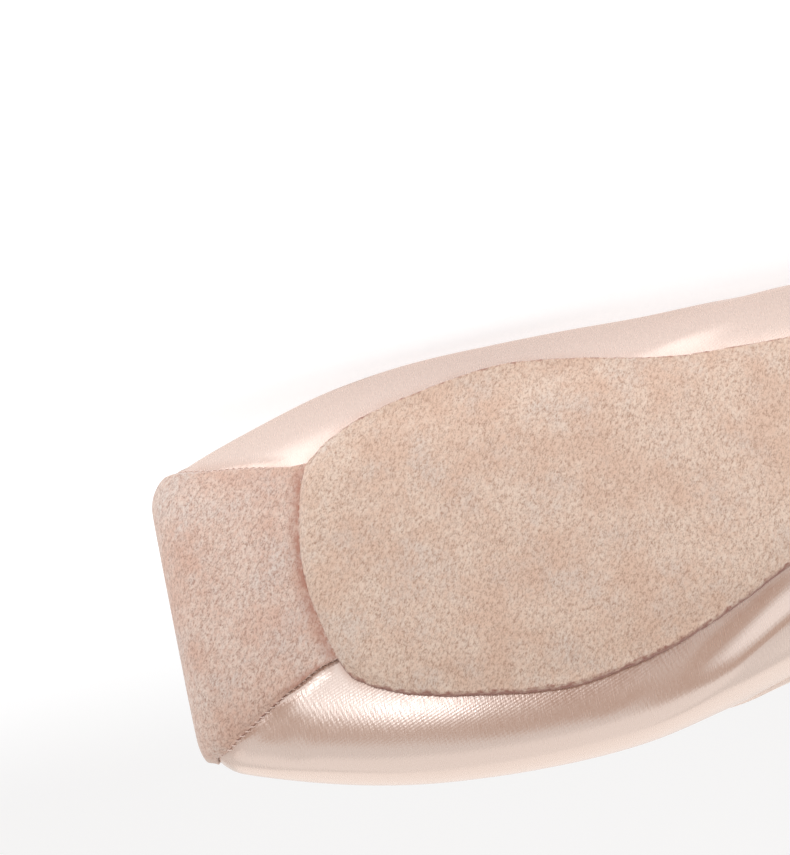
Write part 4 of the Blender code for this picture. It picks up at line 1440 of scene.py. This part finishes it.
# %% [markdown]
# ## Floor and light
# A plain pale floor and three soft boxes, as in a studio: a small one low before the sole, a broad one overhead and
# one behind the shoe. Satin mirrors its surroundings softly, so what counts is where they are bright. The small box
# gives the shine beside the sole, three dark places in the sky give the brown band that follows it, and the pale sky
# above them gives the flank. The floor glows a little, and more in a strip before the shoe, which is mirrored in the
# side that lies down.

# %% Floor
FLOOR_REACH = 14.0
FLOOR_WHITE = (0.62, 0.62, 0.62)
FLOOR_LIGHT = (0.94, 0.97, 1, 1)
FLOOR_GLOW = 0.64
FLOOR_GLOW_FAR = 0.38
FLOOR_FADE = (0.02, 0.25)
GLOW_BRIGHT = 0.85
GLOW_BAND = (-0.066, -0.050, -0.035, -0.028)
GLOW_BEND_FROM = -0.045
GLOW_BEND = 0.4


def add_floor():
    """A square that glows: a strip of light across x, which bends with y on its far side, over a soft base."""
    mesh = bpy.data.meshes.new("floor")
    square = [(-1, -1), (1, -1), (1, 1), (-1, 1)]
    mesh.from_pydata([(FLOOR_REACH * x, FLOOR_REACH * y, 0.0) for x, y in square], [], [(0, 1, 2, 3)])
    material, tree, shader = new_material("white_floor", FLOOR_WHITE, 0.9, Specular_IOR_Level=0.0)
    shader.inputs["Emission Color"].default_value = FLOOR_LIGHT
    x, y = split_place(tree, object_place(tree))
    behind = number(tree, "MAXIMUM", number(tree, "SUBTRACT", y, GLOW_BEND_FROM), 0.0)
    bent = number(tree, "ADD", x, number(tree, "MULTIPLY", behind, GLOW_BEND))
    far_side = stretch(tree, bent, *GLOW_BAND[:2], 0.0, GLOW_BRIGHT)
    near_side = stretch(tree, x, *GLOW_BAND[2:], 1.0, 0.0)
    glow = number(tree, "MULTIPLY", far_side, near_side)
    base = stretch(tree, x, *FLOOR_FADE, FLOOR_GLOW, FLOOR_GLOW_FAR)
    tree.links.new(number(tree, "ADD", glow, base), shader.inputs["Emission Strength"])
    mesh.materials.append(material)
    add_object("floor", mesh)


add_floor()
print("floor of", 2 * FLOOR_REACH, "m")

# %% [markdown]
# Each lamp is a disk that faces the shoe. The sky is one colour with darker places: a place is a direction, given by
# its height and its turn towards the heel in degrees, and two angles between which it fades out.

# %% Lamps
SKY_LOW = (1.0, 0.985, 0.97, 1)
SKY_DARK = (0.53, 0.315, 0.205, 1)
SKY_STRENGTH = 0.80
DARK_PLACE_COLUMNS = ("height", "to_heel", "outer", "inner")
DARK_PLACES = (
    (19, 5, 22, 12),
    (40, 36, 28, 12),
    (12, -26, 20, 11),
)
SOFT_BOX_COLUMNS = ("name", "position", "size", "power", "colour")
SOFT_BOXES = (
    ("front_box", (-1.00, -0.20, 0.09), 0.20, 0.50, (0.84, 0.93, 1.0)),
    ("top_box", (0.10, -0.05, 1.00), 1.60, 1.6, (1.0, 0.98, 0.96)),
    ("rear_box", (0.95, -0.05, 0.45), 0.90, 0.7, (1.0, 0.98, 0.96)),
)


def dark_place(tree, direction, height, to_heel, outer, inner):
    """1 within the inner angle of a direction and 0 beyond the outer one, by the cosine of the angle between."""
    height, to_heel = np.radians(height), np.radians(to_heel)
    aim = (-np.cos(height) * np.cos(to_heel), np.sin(to_heel), np.sin(height) * np.cos(to_heel))
    nearness = add_node(tree, "VectorMath", {0: direction, 1: aim}, operation="DOT_PRODUCT").outputs["Value"]
    return stretch(tree, nearness, np.cos(np.radians(outer)), np.cos(np.radians(inner)))


def add_sky():
    """Bright all round, and dark about the directions in the table."""
    world = bpy.data.worlds.new("studio")
    world.use_nodes = True
    tree = world.node_tree
    direction = add_node(tree, "TexCoord").outputs["Generated"]
    dark = 0.0
    for values in named_rows(DARK_PLACE_COLUMNS, DARK_PLACES):
        dark = number(tree, "MAXIMUM", dark, dark_place(tree, direction, **values))
    background = tree.nodes["Background"]
    tree.links.new(blend_colour(tree, dark, SKY_LOW, SKY_DARK), background.inputs["Color"])
    background.inputs["Strength"].default_value = SKY_STRENGTH
    bpy.context.scene.world = world


def add_lamp(name, position, size, power, colour):
    """A round area lamp of a size and power, turned to the origin."""
    lamp = bpy.data.lights.new(name, "AREA")
    lamp.shape, lamp.size, lamp.energy, lamp.color = "DISK", size, power, colour
    holder = add_object(name, lamp)
    holder.location = position
    holder.rotation_euler = (-Vector(position)).to_track_quat("-Z", "Y").to_euler()


for lamp_values in named_rows(SOFT_BOX_COLUMNS, SOFT_BOXES):
    add_lamp(**lamp_values)
add_sky()
bpy.context.scene.view_settings.view_transform = "Standard"
print(len(SOFT_BOXES), "soft boxes and a dim sky")
